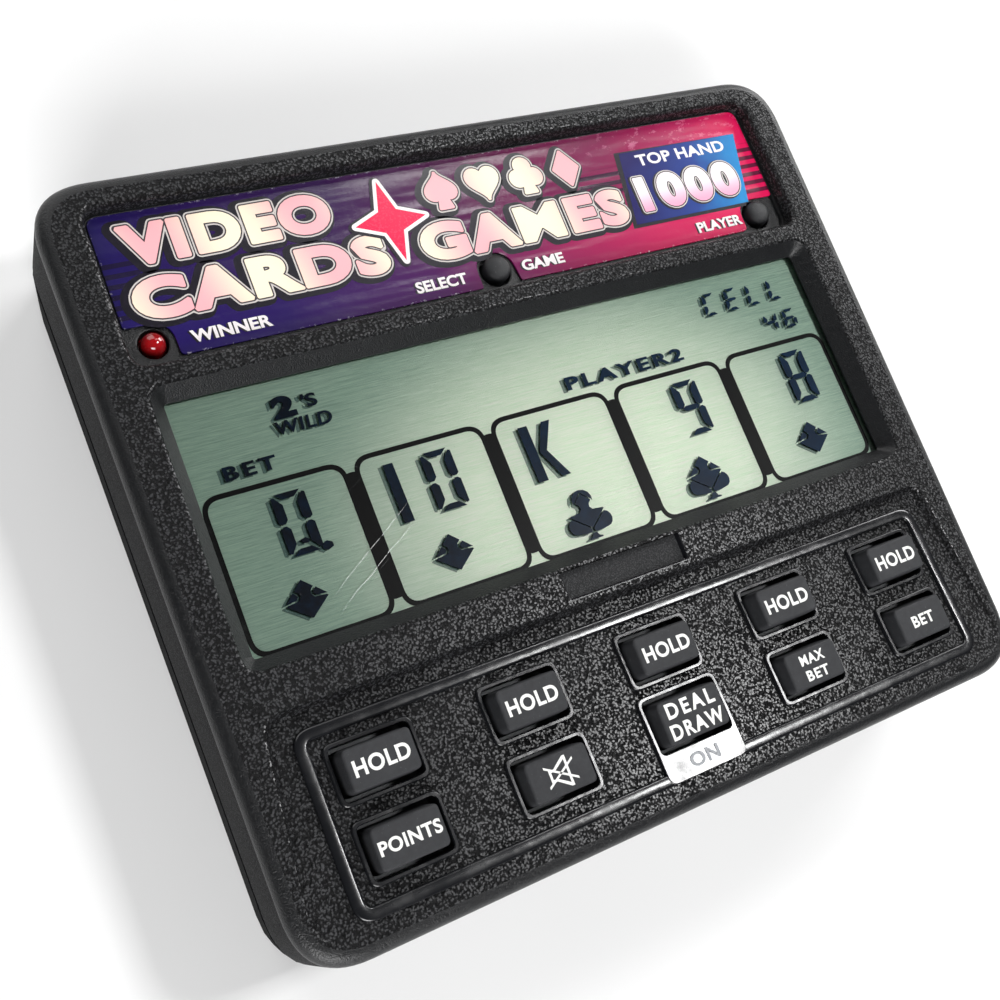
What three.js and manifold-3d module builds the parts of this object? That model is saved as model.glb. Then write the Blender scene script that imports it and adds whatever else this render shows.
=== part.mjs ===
// Handheld electronic video poker machine: a flat plastic case with a liquid crystal
// display, ten rubber keys, two round buttons and a pair of AAA cells behind a sliding door.
// Millimetres. The machine lies on its back: +Z comes out of the face, +X is to the
// right and +Y is towards the label. The origin is the middle of the back.

import * as THREE from 'three';
import * as BufferGeometryUtils from 'three/addons/utils/BufferGeometryUtils.js';
import Module from 'manifold-3d';

const wasm = await Module();
wasm.setup();

// ---------------------------------------------------------------- driving dimensions

// the two shells
const HALF_HEIGHT = 45.75;
const HALF_WIDTH_AT_TOP = 53.5;
const HALF_WIDTH_AT_BOTTOM = 52.2;
const CORNER_RADIUS = 5.5;
const FACE_Z = 20.0;
const PARTING_Z = 9.0;
const EDGE_ROUNDING = 1.6;
const WALL = 1.8;
const SEAM = 0.15;
const REAR_DRAFT = 1.0;
const SEAM_LIP = { inset: 1.1, wall: 0.7, topZ: 10.2, clearance: 0.15 };

// the label pocket in the face and the three holes in its floor
const POCKET = { halfWidth: 47.9, bottom: 22.2, top: 42.1, floorZ: 17.65, radius: 2.0 };
const LABEL = { halfWidth: 47.4, bottom: 23.2, top: 41.8, thickness: 0.25, radius: 1.4 };
const ROUND_BUTTON_Y = 25.3;
const SELECT_X = 0.2;
const PLAYER_X = 43.4;
const LAMP_X = -44.6;
const NOTCH_TOP = 27.7;
const NOTCH_RADIUS = 2.6;

// the display, from the bevelled opening down to the circuit board
const WINDOW = { halfWidth: 45.9, bottom: -12.4, top: 18.0, lipZ: 17.9 };
const BEVEL_RUN = 1.6;
const LENS = { halfWidth: 47.5, bottom: -13.9, top: 19.2, bottomZ: 16.6, topZ: 17.5 };
const GLASS = { halfWidth: 46.5, bottom: -13.2, top: 18.6, ledge: 3.0 };
const REAR_GLASS_Z = [14.9, 15.6];
const FRONT_GLASS_Z = [15.7, 16.5];
const HOLDER = { halfWidth: 47.7, bottom: -17.9, top: 20.2, wall: 0.9, bottomZ: 14.6, topZ: 16.4 };

// the circuit board
const BOARD = { halfWidth: 46.8, bottom: -42.0, top: 30.0, bottomZ: 13.2, topZ: 14.4, corner: 9.0 };
const BOARD_SCREWS = [[-33, 26], [33, 26], [-28.2, -31.5], [28.2, -31.5]];
const BOARD_SCREW_TIP_Z = 16.3;
const BOARD_SCREW = { headRadius: 1.9, headHeight: 1.1, shankRadius: 0.9 };

// the sunken keypad panel, which rises towards the bottom edge
const PANEL = { halfWidthTop: 47.6, halfWidthBottom: 51.1, top: -18.9, topZ: 18.8, slopeDegrees: 2.79 };
const PANEL_CORNER = 1.8;
const BEAD = { halfWidth: 45.4, bottom: -42.3, top: -21.2, width: 1.5, height: 0.4, radius: 2.2 };
const KEY_PITCH = 18.72;
const UPPER_ROW_Y = -27.2;
const LOWER_ROW_Y = -35.8;
const RIM = { width: 10.64, depth: 7.14, wall: 0.55, height: 0.5, radius: 1.0 };
const DEAL_RIM = { width: 11.5, top: -31.6, bottom: -42.3 };
const DEAL_WELL = { y: -35.45, depth: 6.6 };
const KEYPAD_CEILING_Z = 17.4;
const GENERAL_CEILING_Z = 16.05;
const BADGE = { halfWidth: 8.65, bottom: -18.0, top: -14.2, depth: 0.5 };

// the keys
const KEY_TOP_Z = 21.7;
const KEY = { width: 8.6, depth: 5.2 };
const DEAL_KEY = { width: 9.3, depth: 5.7 };
const KEY_SKIRT = { overhang: 0.9, bottomZ: 16.4, topZ: 17.1 };
const KEY_PILL = { width: 5.6, depth: 2.8, bottomZ: 15.6 };
const MEMBRANE = { halfWidth: 43.2, bottom: -41.3, top: -21.6, bottomZ: 14.55, topZ: 15.2 };

// the battery compartment in the back
const CELL = { radius: 5.25, length: 43.3, nubRadius: 1.9, nubLength: 1.2 };
const CELL_Z = 7.0;
const CELL_ROWS_Y = [24.9, 35.9];
const BAY = { halfWidth: 27.0, bottom: 19.3, top: 41.5, wallX: 2.7, wallY: 1.2 };
const BAY_CEILING_Z = [12.4, 13.0];
const DOOR = { halfWidth: 28.2, bottom: 17.9, recess: 0.2, topZ: 1.5, clearance: 0.3 };
const DOOR_TONGUE = { width: 0.8, bottomZ: 0.95 };

// the sounder behind the holes in the back
const PIEZO = { x: -22, y: -22, radius: 10 };
const SOUND_HOLE_RING = 4;

// screws that pull the shells together
const CASE_SCREWS = [[-48.0, 40.2], [48.0, 40.2], [-46.8, -40.2], [46.8, -40.2]];
const BOSS_RADIUS = 3.2;
const SCREW = { headRadius: 2.1, headHeight: 1.5, shankRadius: 1.0, seatZ: 5.2, tipZ: 14.0 };

// ---------------------------------------------------------------- shapes and solids

/** A rounded rectangle between two opposite corners. */
function roundedRectangle(x0, y0, x1, y1, radius) {
  const shape = new THREE.Shape();
  shape.moveTo(x0 + radius, y0);
  shape.absarc(x1 - radius, y0 + radius, radius, -Math.PI / 2, 0, false);
  shape.absarc(x1 - radius, y1 - radius, radius, 0, Math.PI / 2, false);
  shape.absarc(x0 + radius, y1 - radius, radius, Math.PI / 2, Math.PI, false);
  shape.absarc(x0 + radius, y0 + radius, radius, Math.PI, 1.5 * Math.PI, false);
  return shape;
}

/** A polygon whose corners are rounded; each corner is [x, y, radius]. */
function roundedPolygon(corners) {
  const shape = new THREE.Shape();
  corners.forEach(([x, y, radius], i) => {
    const here = new THREE.Vector2(x, y);
    const before = new THREE.Vector2(...corners.at(i - 1).slice(0, 2));
    const after = new THREE.Vector2(...corners[(i + 1) % corners.length].slice(0, 2));
    const start = here.clone().add(before.sub(here).setLength(radius));
    const end = here.clone().add(after.sub(here).setLength(radius));
    if (i === 0) {
      shape.moveTo(start.x, start.y);
    } else {
      shape.lineTo(start.x, start.y);
    }
    if (radius > 0) {
      shape.quadraticCurveTo(x, y, end.x, end.y);
    }
  });
  shape.closePath();
  return shape;
}

/** The outline of the case seen from the front, moved inwards by the inset. */
function caseOutline(inset) {
  const bottom = HALF_WIDTH_AT_BOTTOM - inset;
  const top = HALF_WIDTH_AT_TOP - inset;
  const y = HALF_HEIGHT - inset;
  const radius = 1.35 * (CORNER_RADIUS - 0.6 * inset);
  return roundedPolygon([
    [-bottom, -y, radius],
    [bottom, -y, radius],
    [top, y, radius],
    [-top, y, radius],
  ]);
}

/** Turns a three.js geometry into a solid that can be added and cut. */
function solid(geometry) {
  geometry.deleteAttribute('normal');
  geometry.deleteAttribute('uv');
  const merged = BufferGeometryUtils.mergeVertices(geometry, 1e-4);
  return new wasm.Manifold(new wasm.Mesh({
    numProp: 3,
    vertProperties: new Float32Array(merged.attributes.position.array),
    triVerts: new Uint32Array(merged.index.array),
  }));
}

/** A straight slab of the given outline between two heights. */
function slab(shape, z0, z1, curveSegments = 6) {
  const geometry = new THREE.ExtrudeGeometry(shape, {
    depth: z1 - z0,
    bevelEnabled: false,
    curveSegments,
  });
  return solid(geometry.translate(0, 0, z0));
}

/** A slab whose top and bottom edges are rounded by the same amount. */
function pillow(shape, z0, z1, rounding, segments = 3, curveSegments = 6) {
  const geometry = new THREE.ExtrudeGeometry(shape, {
    depth: z1 - z0 - 2 * rounding,
    bevelEnabled: true,
    bevelThickness: rounding,
    bevelSize: rounding,
    bevelOffset: -rounding,
    bevelSegments: segments,
    curveSegments,
  });
  return solid(geometry.translate(0, 0, z0 + rounding));
}

/** A solid whose sides draw in by a draft, from a height down to the back at z 0. */
function drafted(shape, height, draft, curveSegments = 6) {
  const geometry = new THREE.ExtrudeGeometry(shape, {
    depth: 1,
    bevelEnabled: true,
    bevelThickness: height,
    bevelSize: draft,
    bevelOffset: -draft,
    bevelSegments: 1,
    curveSegments,
  });
  return solid(geometry.translate(0, 0, height));
}

/** A rectangular block between two opposite corners. */
function block(x0, x1, y0, y1, z0, z1) {
  const geometry = new THREE.BoxGeometry(x1 - x0, y1 - y0, z1 - z0);
  return solid(geometry.translate((x0 + x1) / 2, (y0 + y1) / 2, (z0 + z1) / 2));
}

/** An upright round post or hole. */
function post(x, y, radius, z0, z1, segments = 20) {
  const geometry = new THREE.CylinderGeometry(radius, radius, z1 - z0, segments);
  return solid(geometry.rotateX(Math.PI / 2).translate(x, y, (z0 + z1) / 2));
}

/** A turned solid about an upright axis; the profile is a list of [radius, z]. */
function turned(x, y, profile, segments = 20) {
  const points = profile.map(([radius, z]) => new THREE.Vector2(radius, z));
  const geometry = new THREE.LatheGeometry(points, segments);
  return solid(geometry.rotateX(Math.PI / 2).translate(x, y, 0));
}

/** A rectangular funnel that widens from the lower outline to the upper one. */
function funnel(lower, z0, upper, z1) {
  const corners = [[-1, 0], [1, 0], [1, 1], [-1, 1]];
  const ring = (box, z) => corners.flatMap(([side, end]) => [
    side * box.halfWidth,
    end ? box.top : box.bottom,
    z,
  ]);
  const geometry = new THREE.BufferGeometry();
  const positions = new Float32Array([...ring(lower, z0), ...ring(upper, z1)]);
  geometry.setAttribute('position', new THREE.BufferAttribute(positions, 3));
  const sides = [0, 1, 2, 3].flatMap((i) => {
    const next = (i + 1) % 4;
    return [i, next, next + 4, i, next + 4, i + 4];
  });
  geometry.setIndex([0, 2, 1, 0, 3, 2, ...sides, 4, 5, 6, 4, 6, 7]);
  return solid(geometry);
}

/** A round wire through a list of points. */
function wire(points, radius, steps, sides = 8) {
  const section = new THREE.Shape();
  section.absarc(0, 0, radius, 0, 2 * Math.PI, false);
  const path = new THREE.CatmullRomCurve3(points.map((p) => new THREE.Vector3(...p)));
  return solid(new THREE.ExtrudeGeometry(section, {
    steps,
    extrudePath: path,
    curveSegments: sides / 2,
  }));
}

/** Joins several solids into one. */
function joined(first, ...others) {
  return others.reduce((whole, other) => whole.add(other), first);
}

/** Cuts several solids out of one. */
function cut(whole, ...tools) {
  return tools.reduce((rest, tool) => rest.subtract(tool), whole);
}

// ---------------------------------------------------------------- finishes

const finish = {
  grainedPlastic: { color: 0x232427, roughness: 0.55, metalness: 0.0 },
  smoothPlastic: { color: 0x1b1c1f, roughness: 0.3, metalness: 0.0 },
  rubber: { color: 0x343538, roughness: 0.85, metalness: 0.0 },
  contactRubber: { color: 0x55585c, roughness: 0.9, metalness: 0.0 },
  clear: { color: 0xdfe8e6, roughness: 0.05, metalness: 0.0 },
  displayGlass: { color: 0x9fb3a2, roughness: 0.2, metalness: 0.0 },
  printedLabel: { color: 0x8a1c66, roughness: 0.35, metalness: 0.0 },
  lampRed: { color: 0x6b1014, roughness: 0.15, metalness: 0.0 },
  board: { color: 0x9a7b3a, roughness: 0.6, metalness: 0.0 },
  epoxy: { color: 0x111213, roughness: 0.35, metalness: 0.0 },
  springSteel: { color: 0xb9bcc0, roughness: 0.3, metalness: 1.0 },
  brass: { color: 0xc9a24b, roughness: 0.35, metalness: 1.0 },
  cellJacket: { color: 0x2f5f8f, roughness: 0.35, metalness: 0.2 },
  redInsulation: { color: 0xb3241f, roughness: 0.5, metalness: 0.0 },
  blackInsulation: { color: 0x17181a, roughness: 0.5, metalness: 0.0 },
  whitePlastic: { color: 0xd9d9d4, roughness: 0.5, metalness: 0.0 },
};

const machine = new THREE.Group();
machine.name = 'video_poker_machine';

/** Adds one named piece of the machine. */
function piece(name, body, look) {
  const { vertProperties, triVerts } = body.getMesh();
  const geometry = new THREE.BufferGeometry();
  geometry.setAttribute('position', new THREE.BufferAttribute(vertProperties, 3));
  geometry.setIndex(new THREE.BufferAttribute(triVerts, 1));
  geometry.computeVertexNormals();
  const mesh = new THREE.Mesh(geometry, new THREE.MeshStandardMaterial(look));
  mesh.name = name;
  machine.add(mesh);
}

// ---------------------------------------------------------------- keypad layout

const upperKeys = [-2, -1, 0, 1, 2].map((column) => ({
  name: `hold_key_${column + 3}`,
  x: column * KEY_PITCH,
  y: UPPER_ROW_Y,
  size: KEY,
}));

const lowerKeys = ['points_key', 'mute_key', 'deal_key', 'max_bet_key', 'bet_key'].map((name, i) => ({
  name,
  x: (i - 2) * KEY_PITCH,
  y: name === 'deal_key' ? DEAL_WELL.y : LOWER_ROW_Y,
  size: name === 'deal_key' ? DEAL_KEY : KEY,
}));

const keys = [...upperKeys, ...lowerKeys];

/** The well that a key moves in, as an outline in plan. */
function wellOutline(key, grow = 0) {
  const isDeal = key.size === DEAL_KEY;
  const halfWidth = (isDeal ? DEAL_RIM.width : RIM.width) / 2 - RIM.wall + grow;
  const halfDepth = (isDeal ? DEAL_WELL.depth / 2 : RIM.depth / 2 - RIM.wall) + grow;
  return roundedRectangle(key.x - halfWidth, key.y - halfDepth, key.x + halfWidth, key.y + halfDepth, 0.5);
}

/** Moves a solid made on the flat onto the sloping keypad panel. */
function onPanel(body) {
  const slope = PANEL.slopeDegrees;
  return body.translate([0, -PANEL.top, 0]).rotate([-slope, 0, 0]).translate([0, PANEL.top, PANEL.topZ]);
}

// ---------------------------------------------------------------- front case

function buildFrontCase() {
  const rounded = pillow(caseOutline(0), -2, FACE_Z, EDGE_ROUNDING, 4);
  const outside = rounded.subtract(block(-60, 60, -50, 50, -5, PARTING_Z));

  // hollows from behind
  const cavity = slab(caseOutline(WALL), 5, GENERAL_CEILING_Z);
  const keypadCavity = block(-45.5, 45.5, -42.0, -20.8, 10, KEYPAD_CEILING_Z);
  const grow = 0.4;
  const holderWell = block(
    -HOLDER.halfWidth - grow,
    HOLDER.halfWidth + grow,
    HOLDER.bottom - grow,
    HOLDER.top + grow,
    10,
    HOLDER.topZ + 0.15,
  );
  const lensWell = block(
    -LENS.halfWidth - 0.3,
    LENS.halfWidth + 0.3,
    LENS.bottom - 0.3,
    LENS.top + 0.3,
    10,
    LENS.topZ + 0.12,
  );

  // the bevelled opening over the display
  const straight = block(-WINDOW.halfWidth, WINDOW.halfWidth, WINDOW.bottom, WINDOW.top, 15, 19);
  const reach = (FACE_Z + 1 - WINDOW.lipZ) * (BEVEL_RUN / (FACE_Z - WINDOW.lipZ));
  const bevel = funnel(WINDOW, WINDOW.lipZ, {
    halfWidth: WINDOW.halfWidth + reach,
    bottom: WINDOW.bottom - reach,
    top: WINDOW.top + reach,
  }, FACE_Z + 1);

  // the label pocket and the holes in its floor
  const pocketShape = roundedRectangle(
    -POCKET.halfWidth,
    POCKET.bottom,
    POCKET.halfWidth,
    POCKET.top,
    POCKET.radius,
  );
  const pocket = slab(pocketShape, POCKET.floorZ, FACE_Z + 1, 4);
  const roundHoles = [SELECT_X, PLAYER_X].map((x) => post(x, ROUND_BUTTON_Y, 2.1, 10, FACE_Z));
  const lampHole = post(LAMP_X, ROUND_BUTTON_Y, 1.75, 10, FACE_Z);

  // the sunken panel under the keys
  const panelShape = roundedPolygon([
    [-PANEL.halfWidthBottom, -HALF_HEIGHT - 4, 0],
    [PANEL.halfWidthBottom, -HALF_HEIGHT - 4, 0],
    [PANEL.halfWidthTop, PANEL.top, PANEL_CORNER],
    [-PANEL.halfWidthTop, PANEL.top, PANEL_CORNER],
  ]);
  const abovePanel = onPanel(block(-60, 60, -60, 20, 0, 8));
  const panel = slab(panelShape, 17, FACE_Z + 3).intersect(abovePanel);
  const badge = block(
    -BADGE.halfWidth,
    BADGE.halfWidth,
    BADGE.bottom,
    BADGE.top,
    FACE_Z - BADGE.depth,
    FACE_Z + 1,
  );

  // the raised border and the rims round the keys
  const beadOuter = roundedRectangle(-BEAD.halfWidth, BEAD.bottom, BEAD.halfWidth, BEAD.top, BEAD.radius);
  const inner = BEAD.width;
  const beadInner = roundedRectangle(
    -BEAD.halfWidth + inner,
    BEAD.bottom + inner,
    BEAD.halfWidth - inner,
    BEAD.top - inner,
    BEAD.radius - 1.2,
  );
  const bead = slab(beadOuter, -0.5, BEAD.height, 4).subtract(slab(beadInner, -1, 1, 4));
  const rims = keys.filter((key) => key.size === KEY).map((key) => slab(roundedRectangle(
    key.x - RIM.width / 2,
    key.y - RIM.depth / 2,
    key.x + RIM.width / 2,
    key.y + RIM.depth / 2,
    RIM.radius,
  ), -0.5, RIM.height, 3));
  const dealRim = slab(roundedRectangle(
    -DEAL_RIM.width / 2,
    DEAL_RIM.bottom,
    DEAL_RIM.width / 2,
    DEAL_RIM.top,
    RIM.radius,
  ), -0.5, RIM.height, 3);
  const raised = onPanel(joined(bead, dealRim, ...rims));

  // posts that hold the board, and bosses that take the case screws
  const boardPosts = BOARD_SCREWS.map(([x, y]) => (
    post(x, y, 2.4, BOARD.topZ + 0.1, KEYPAD_CEILING_Z + 0.2)
  ));
  const bosses = CASE_SCREWS.map(([x, y]) => (
    post(x, y, BOSS_RADIUS, PARTING_Z + SEAM, GENERAL_CEILING_Z + 0.5)
  ));

  const shell = cut(outside, cavity, keypadCavity, holderWell, lensWell);
  const hollow = cut(shell, straight, bevel, pocket, panel, badge);
  const whole = joined(hollow, raised, ...boardPosts, ...bosses);
  return cut(
    whole,
    ...keys.map((key) => slab(wellOutline(key), 10, 24, 2)),
    ...roundHoles,
    lampHole,
    ...BOARD_SCREWS.map(([x, y]) => post(x, y, 1.15, 10, 16.6, 12)),
    ...CASE_SCREWS.map(([x, y]) => post(x, y, SCREW.shankRadius + 0.15, 5, SCREW.tipZ + 0.6, 12)),
    slab(caseOutline(SEAM_LIP.inset - SEAM_LIP.clearance), 5, SEAM_LIP.topZ + SEAM_LIP.clearance)
      .subtract(slab(caseOutline(SEAM_LIP.inset + 1.4), 4, 12)),
    block(-60, 60, -50, 50, PARTING_Z - 1, PARTING_Z + SEAM),
  );
}

piece('front_case', buildFrontCase(), finish.grainedPlastic);

// ---------------------------------------------------------------- rear case and door

const rearOutside = pillow(caseOutline(0), 0, FACE_Z, EDGE_ROUNDING, 4)
  .intersect(drafted(caseOutline(0), PARTING_Z - SEAM, REAR_DRAFT))
  .intersect(block(-60, 60, -50, 50, -1, PARTING_Z - SEAM));

function buildRearCase() {
  const cavity = slab(caseOutline(WALL), WALL, 12);
  const bayWalls = block(
    -BAY.halfWidth - BAY.wallX,
    BAY.halfWidth + BAY.wallX,
    BAY.bottom - BAY.wallY,
    BAY.top + BAY.wallY,
    0.5,
    BAY_CEILING_Z[1],
  );
  const bay = block(-BAY.halfWidth, BAY.halfWidth, BAY.bottom, BAY.top, -1, BAY_CEILING_Z[0]);
  const bosses = CASE_SCREWS.map(([x, y]) => post(x, y, BOSS_RADIUS, 0.5, PARTING_Z - SEAM));

  // the door lies in a slot that is open at the top edge of the case
  const side = DOOR.halfWidth + DOOR.clearance;
  const tongue = side + DOOR_TONGUE.width;
  const end = DOOR.bottom - DOOR.clearance;
  const slotTop = DOOR.topZ + DOOR.clearance;
  const doorSlot = joined(
    block(-side, side, end, 50, -1, slotTop),
    block(-tongue, tongue, end, 50, DOOR_TONGUE.bottomZ - 0.3, slotTop),
  );

  const soundHoles = [0, 1, 2, 3, 4, 5].map((i) => {
    const angle = (i * Math.PI) / 3;
    return post(
      PIEZO.x + SOUND_HOLE_RING * Math.cos(angle),
      PIEZO.y + SOUND_HOLE_RING * Math.sin(angle),
      0.8,
      -1,
      3,
      10,
    );
  });

  // a lip that stands inside the front case and closes the seam
  const lip = slab(caseOutline(SEAM_LIP.inset), WALL + 1, SEAM_LIP.topZ).subtract(
    slab(caseOutline(SEAM_LIP.inset + SEAM_LIP.wall), WALL, 12),
  );

  const shell = joined(rearOutside.subtract(cavity), lip, bayWalls, ...bosses);
  return cut(
    shell,
    bay,
    doorSlot,
    ...soundHoles,
    post(PIEZO.x, PIEZO.y, 0.8, -1, 3, 10),
    ...CASE_SCREWS.map(([x, y]) => post(x, y, 2.5, -1, SCREW.seatZ)),
    ...CASE_SCREWS.map(([x, y]) => post(x, y, SCREW.shankRadius + 0.3, 1, 12, 12)),
    // notches that let the battery leads through the wall of the bay
    block(-BAY.halfWidth - 4, -BAY.halfWidth + 1, CELL_ROWS_Y[0] - 1, CELL_ROWS_Y[0] + 1, 10.4, 11.9),
    block(-BAY.halfWidth - 4, -BAY.halfWidth + 1, CELL_ROWS_Y[1] - 1, CELL_ROWS_Y[1] + 1, 10.4, 11.9),
  );
}

function buildDoor() {
  const plate = rearOutside.intersect(
    block(-DOOR.halfWidth, DOOR.halfWidth, DOOR.bottom, 50, DOOR.recess, DOOR.topZ),
  );
  const tongues = [-1, 1].map((side) => {
    const inside = side * (DOOR.halfWidth - 0.5);
    const outside = side * (DOOR.halfWidth + DOOR_TONGUE.width);
    const [x0, x1] = [inside, outside].sort((a, b) => a - b);
    return block(x0, x1, DOOR.bottom, 42.0, DOOR_TONGUE.bottomZ, DOOR.topZ);
  });
  const grips = [0, 1, 2, 3, 4].map((i) => {
    const halfWidth = 7 - i * 0.9;
    const y = 21.5 + i * 1.5;
    return block(-halfWidth, halfWidth, y, y + 0.7, -1, DOOR.recess + 0.4);
  });
  return cut(joined(plate, ...tongues), ...grips);
}

piece('rear_case', buildRearCase(), finish.grainedPlastic);
piece('battery_door', buildDoor(), finish.grainedPlastic);

// ---------------------------------------------------------------- label, lamp, buttons

function buildLabel() {
  const { halfWidth, bottom, top, radius } = LABEL;
  const lampSide = LAMP_X + NOTCH_RADIUS;
  const playerSide = PLAYER_X - NOTCH_RADIUS;
  const outline = roundedPolygon([
    [lampSide, bottom, 0.6],
    [SELECT_X - NOTCH_RADIUS, bottom, 0.3],
    [SELECT_X - NOTCH_RADIUS, NOTCH_TOP, NOTCH_RADIUS - 0.1],
    [SELECT_X + NOTCH_RADIUS, NOTCH_TOP, NOTCH_RADIUS - 0.1],
    [SELECT_X + NOTCH_RADIUS + 0.4, bottom, 0.3],
    [playerSide, bottom, 0.8],
    [playerSide, NOTCH_TOP, NOTCH_RADIUS],
    [halfWidth, NOTCH_TOP, 0.4],
    [halfWidth, top, radius],
    [-halfWidth, top, radius],
    [-halfWidth, NOTCH_TOP, 0.4],
    [lampSide, NOTCH_TOP, NOTCH_RADIUS],
  ]);
  const bottomZ = POCKET.floorZ + 0.1;
  return slab(outline, bottomZ, bottomZ + LABEL.thickness, 5);
}

function buildRoundButton(x) {
  return turned(x, ROUND_BUTTON_Y, [
    [0, 15.2],
    [2.8, 15.2],
    [2.8, 15.8],
    [1.8, 15.8],
    [1.8, 18.2],
    [1.6, 18.65],
    [1.1, 18.92],
    [0, 19.0],
  ], 24);
}

function buildLamp() {
  return turned(LAMP_X, ROUND_BUTTON_Y, [
    [0, 14.5],
    [1.9, 14.5],
    [1.9, 15.4],
    [1.45, 15.4],
    [1.45, 17.4],
    [1.26, 18.12],
    [0.73, 18.65],
    [0, 18.85],
  ], 20);
}

piece('label_sticker', buildLabel(), finish.printedLabel);
piece('winner_lamp', buildLamp(), finish.lampRed);
piece('select_game_button', buildRoundButton(SELECT_X), finish.rubber);
piece('player_button', buildRoundButton(PLAYER_X), finish.rubber);

// ---------------------------------------------------------------- keys and their sheet

function buildKey({ x, y, size }) {
  const halfWidth = size.width / 2;
  const halfDepth = size.depth / 2;
  const capShape = roundedRectangle(x - halfWidth, y - halfDepth, x + halfWidth, y + halfDepth, 0.9);
  const cap = pillow(capShape, KEY_SKIRT.topZ - 1.2, KEY_TOP_Z, 0.45, 2, 3);
  const reach = KEY_SKIRT.overhang;
  const skirt = block(
    x - halfWidth - reach,
    x + halfWidth + reach,
    y - halfDepth - reach,
    y + halfDepth + reach,
    KEY_SKIRT.bottomZ,
    KEY_SKIRT.topZ,
  );
  const pill = block(
    x - KEY_PILL.width / 2,
    x + KEY_PILL.width / 2,
    y - KEY_PILL.depth / 2,
    y + KEY_PILL.depth / 2,
    KEY_PILL.bottomZ,
    KEY_SKIRT.bottomZ + 0.2,
  );
  const trimmed = cap.subtract(block(x - 8, x + 8, y - 6, y + 6, 10, KEY_SKIRT.bottomZ + 0.3));
  return joined(trimmed, skirt, pill);
}

function buildMembrane() {
  const sheet = block(
    -MEMBRANE.halfWidth,
    MEMBRANE.halfWidth,
    MEMBRANE.bottom,
    MEMBRANE.top,
    MEMBRANE.bottomZ,
    MEMBRANE.topZ,
  );
  const pillHoles = keys.map(({ x, y }) => block(x - 3.4, x + 3.4, y - 2.0, y + 2.0, 14, 16));
  const postHoles = BOARD_SCREWS.slice(2).map(([x, y]) => post(x, y, 2.8, 14, 16));
  return cut(sheet, ...pillHoles, ...postHoles);
}

for (const key of keys) {
  piece(key.name, buildKey(key), finish.rubber);
}
piece('keypad_membrane', buildMembrane(), finish.contactRubber);

// ---------------------------------------------------------------- display stack

function plate(size, bottom, z0, z1) {
  return block(-size.halfWidth, size.halfWidth, bottom, size.top, z0, z1);
}

function buildHolder() {
  const { halfWidth, bottom, top, wall, bottomZ, topZ } = HOLDER;
  const outside = block(-halfWidth, halfWidth, bottom, top, bottomZ, topZ);
  const innerHalfWidth = halfWidth - wall;
  const inside = block(
    -innerHalfWidth,
    innerHalfWidth,
    bottom + wall,
    top - wall,
    bottomZ - 1,
    topZ + 1,
  );
  return outside.subtract(inside);
}

piece('display_window', plate(LENS, LENS.bottom, LENS.bottomZ, LENS.topZ), finish.clear);
piece('lcd_front_glass', plate(GLASS, GLASS.bottom - GLASS.ledge, ...FRONT_GLASS_Z), finish.displayGlass);
piece('lcd_rear_glass', plate(GLASS, GLASS.bottom, ...REAR_GLASS_Z), finish.displayGlass);
piece('lcd_holder', buildHolder(), finish.whitePlastic);
piece('zebra_strip', block(
  -42,
  42,
  GLASS.bottom - GLASS.ledge + 0.5,
  GLASS.bottom - 0.6,
  BOARD.topZ + 0.1,
  FRONT_GLASS_Z[0] - 0.1,
), finish.contactRubber);

// ---------------------------------------------------------------- circuit board

function buildBoard() {
  const { halfWidth, bottom, top, bottomZ, topZ, corner } = BOARD;
  const outline = roundedPolygon([
    [-halfWidth + corner, bottom, 0],
    [halfWidth - corner, bottom, 0],
    [halfWidth, bottom + corner, 0],
    [halfWidth, top, 0],
    [-halfWidth, top, 0],
    [-halfWidth, bottom + corner, 0],
  ]);
  const holes = BOARD_SCREWS.map(([x, y]) => post(x, y, 1.4, 12, 16, 12));
  return cut(slab(outline, bottomZ, topZ), ...holes);
}

/** A screw that points up, with its head below the seat. */
function buildScrew(x, y, seatZ, tipZ, { headRadius, headHeight, shankRadius }) {
  const body = turned(x, y, [
    [0, seatZ - headHeight],
    [headRadius - 0.5, seatZ - headHeight],
    [headRadius, seatZ - headHeight + 0.6],
    [headRadius, seatZ - 0.1],
    [shankRadius, seatZ - 0.1],
    [shankRadius, tipZ - 1.2],
    [0, tipZ],
  ], 16);
  const arm = headRadius * 0.55;
  const depth = seatZ - headHeight + 0.6;
  return cut(
    body,
    block(x - arm, x + arm, y - 0.25, y + 0.25, seatZ - 4, depth),
    block(x - 0.25, x + 0.25, y - arm, y + arm, seatZ - 4, depth),
  );
}

const boardUnder = BOARD.bottomZ - 0.1;

piece('circuit_board', buildBoard(), finish.board);
piece('chip_blob', turned(14, -12, [
  [0, boardUnder],
  [7.5, boardUnder],
  [6.4, boardUnder - 0.9],
  [3.4, boardUnder - 1.6],
  [0, boardUnder - 1.8],
].reverse()), finish.epoxy);
piece('capacitor', turned(-8, -6, [
  [0, boardUnder - 7],
  [2.5, boardUnder - 7],
  [2.5, boardUnder],
  [0, boardUnder],
]), finish.blackInsulation);
piece('resonator', block(-2.5, 2.5, -10.5, -7.5, boardUnder - 5, boardUnder), finish.brass);
piece('lamp_resistor', block(-36, -30, 6, 8.2, boardUnder - 2.2, boardUnder), finish.redInsulation);
piece('piezo_disc', post(PIEZO.x, PIEZO.y, PIEZO.radius, WALL + 0.15, WALL + 0.75, 32), finish.brass);
BOARD_SCREWS.forEach(([x, y]) => {
  const end = y > 0 ? 'top' : 'bottom';
  const side = x < 0 ? 'left' : 'right';
  const screw = buildScrew(x, y, BOARD.bottomZ, BOARD_SCREW_TIP_Z, BOARD_SCREW);
  piece(`board_screw_${end}_${side}`, screw, finish.springSteel);
});
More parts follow.
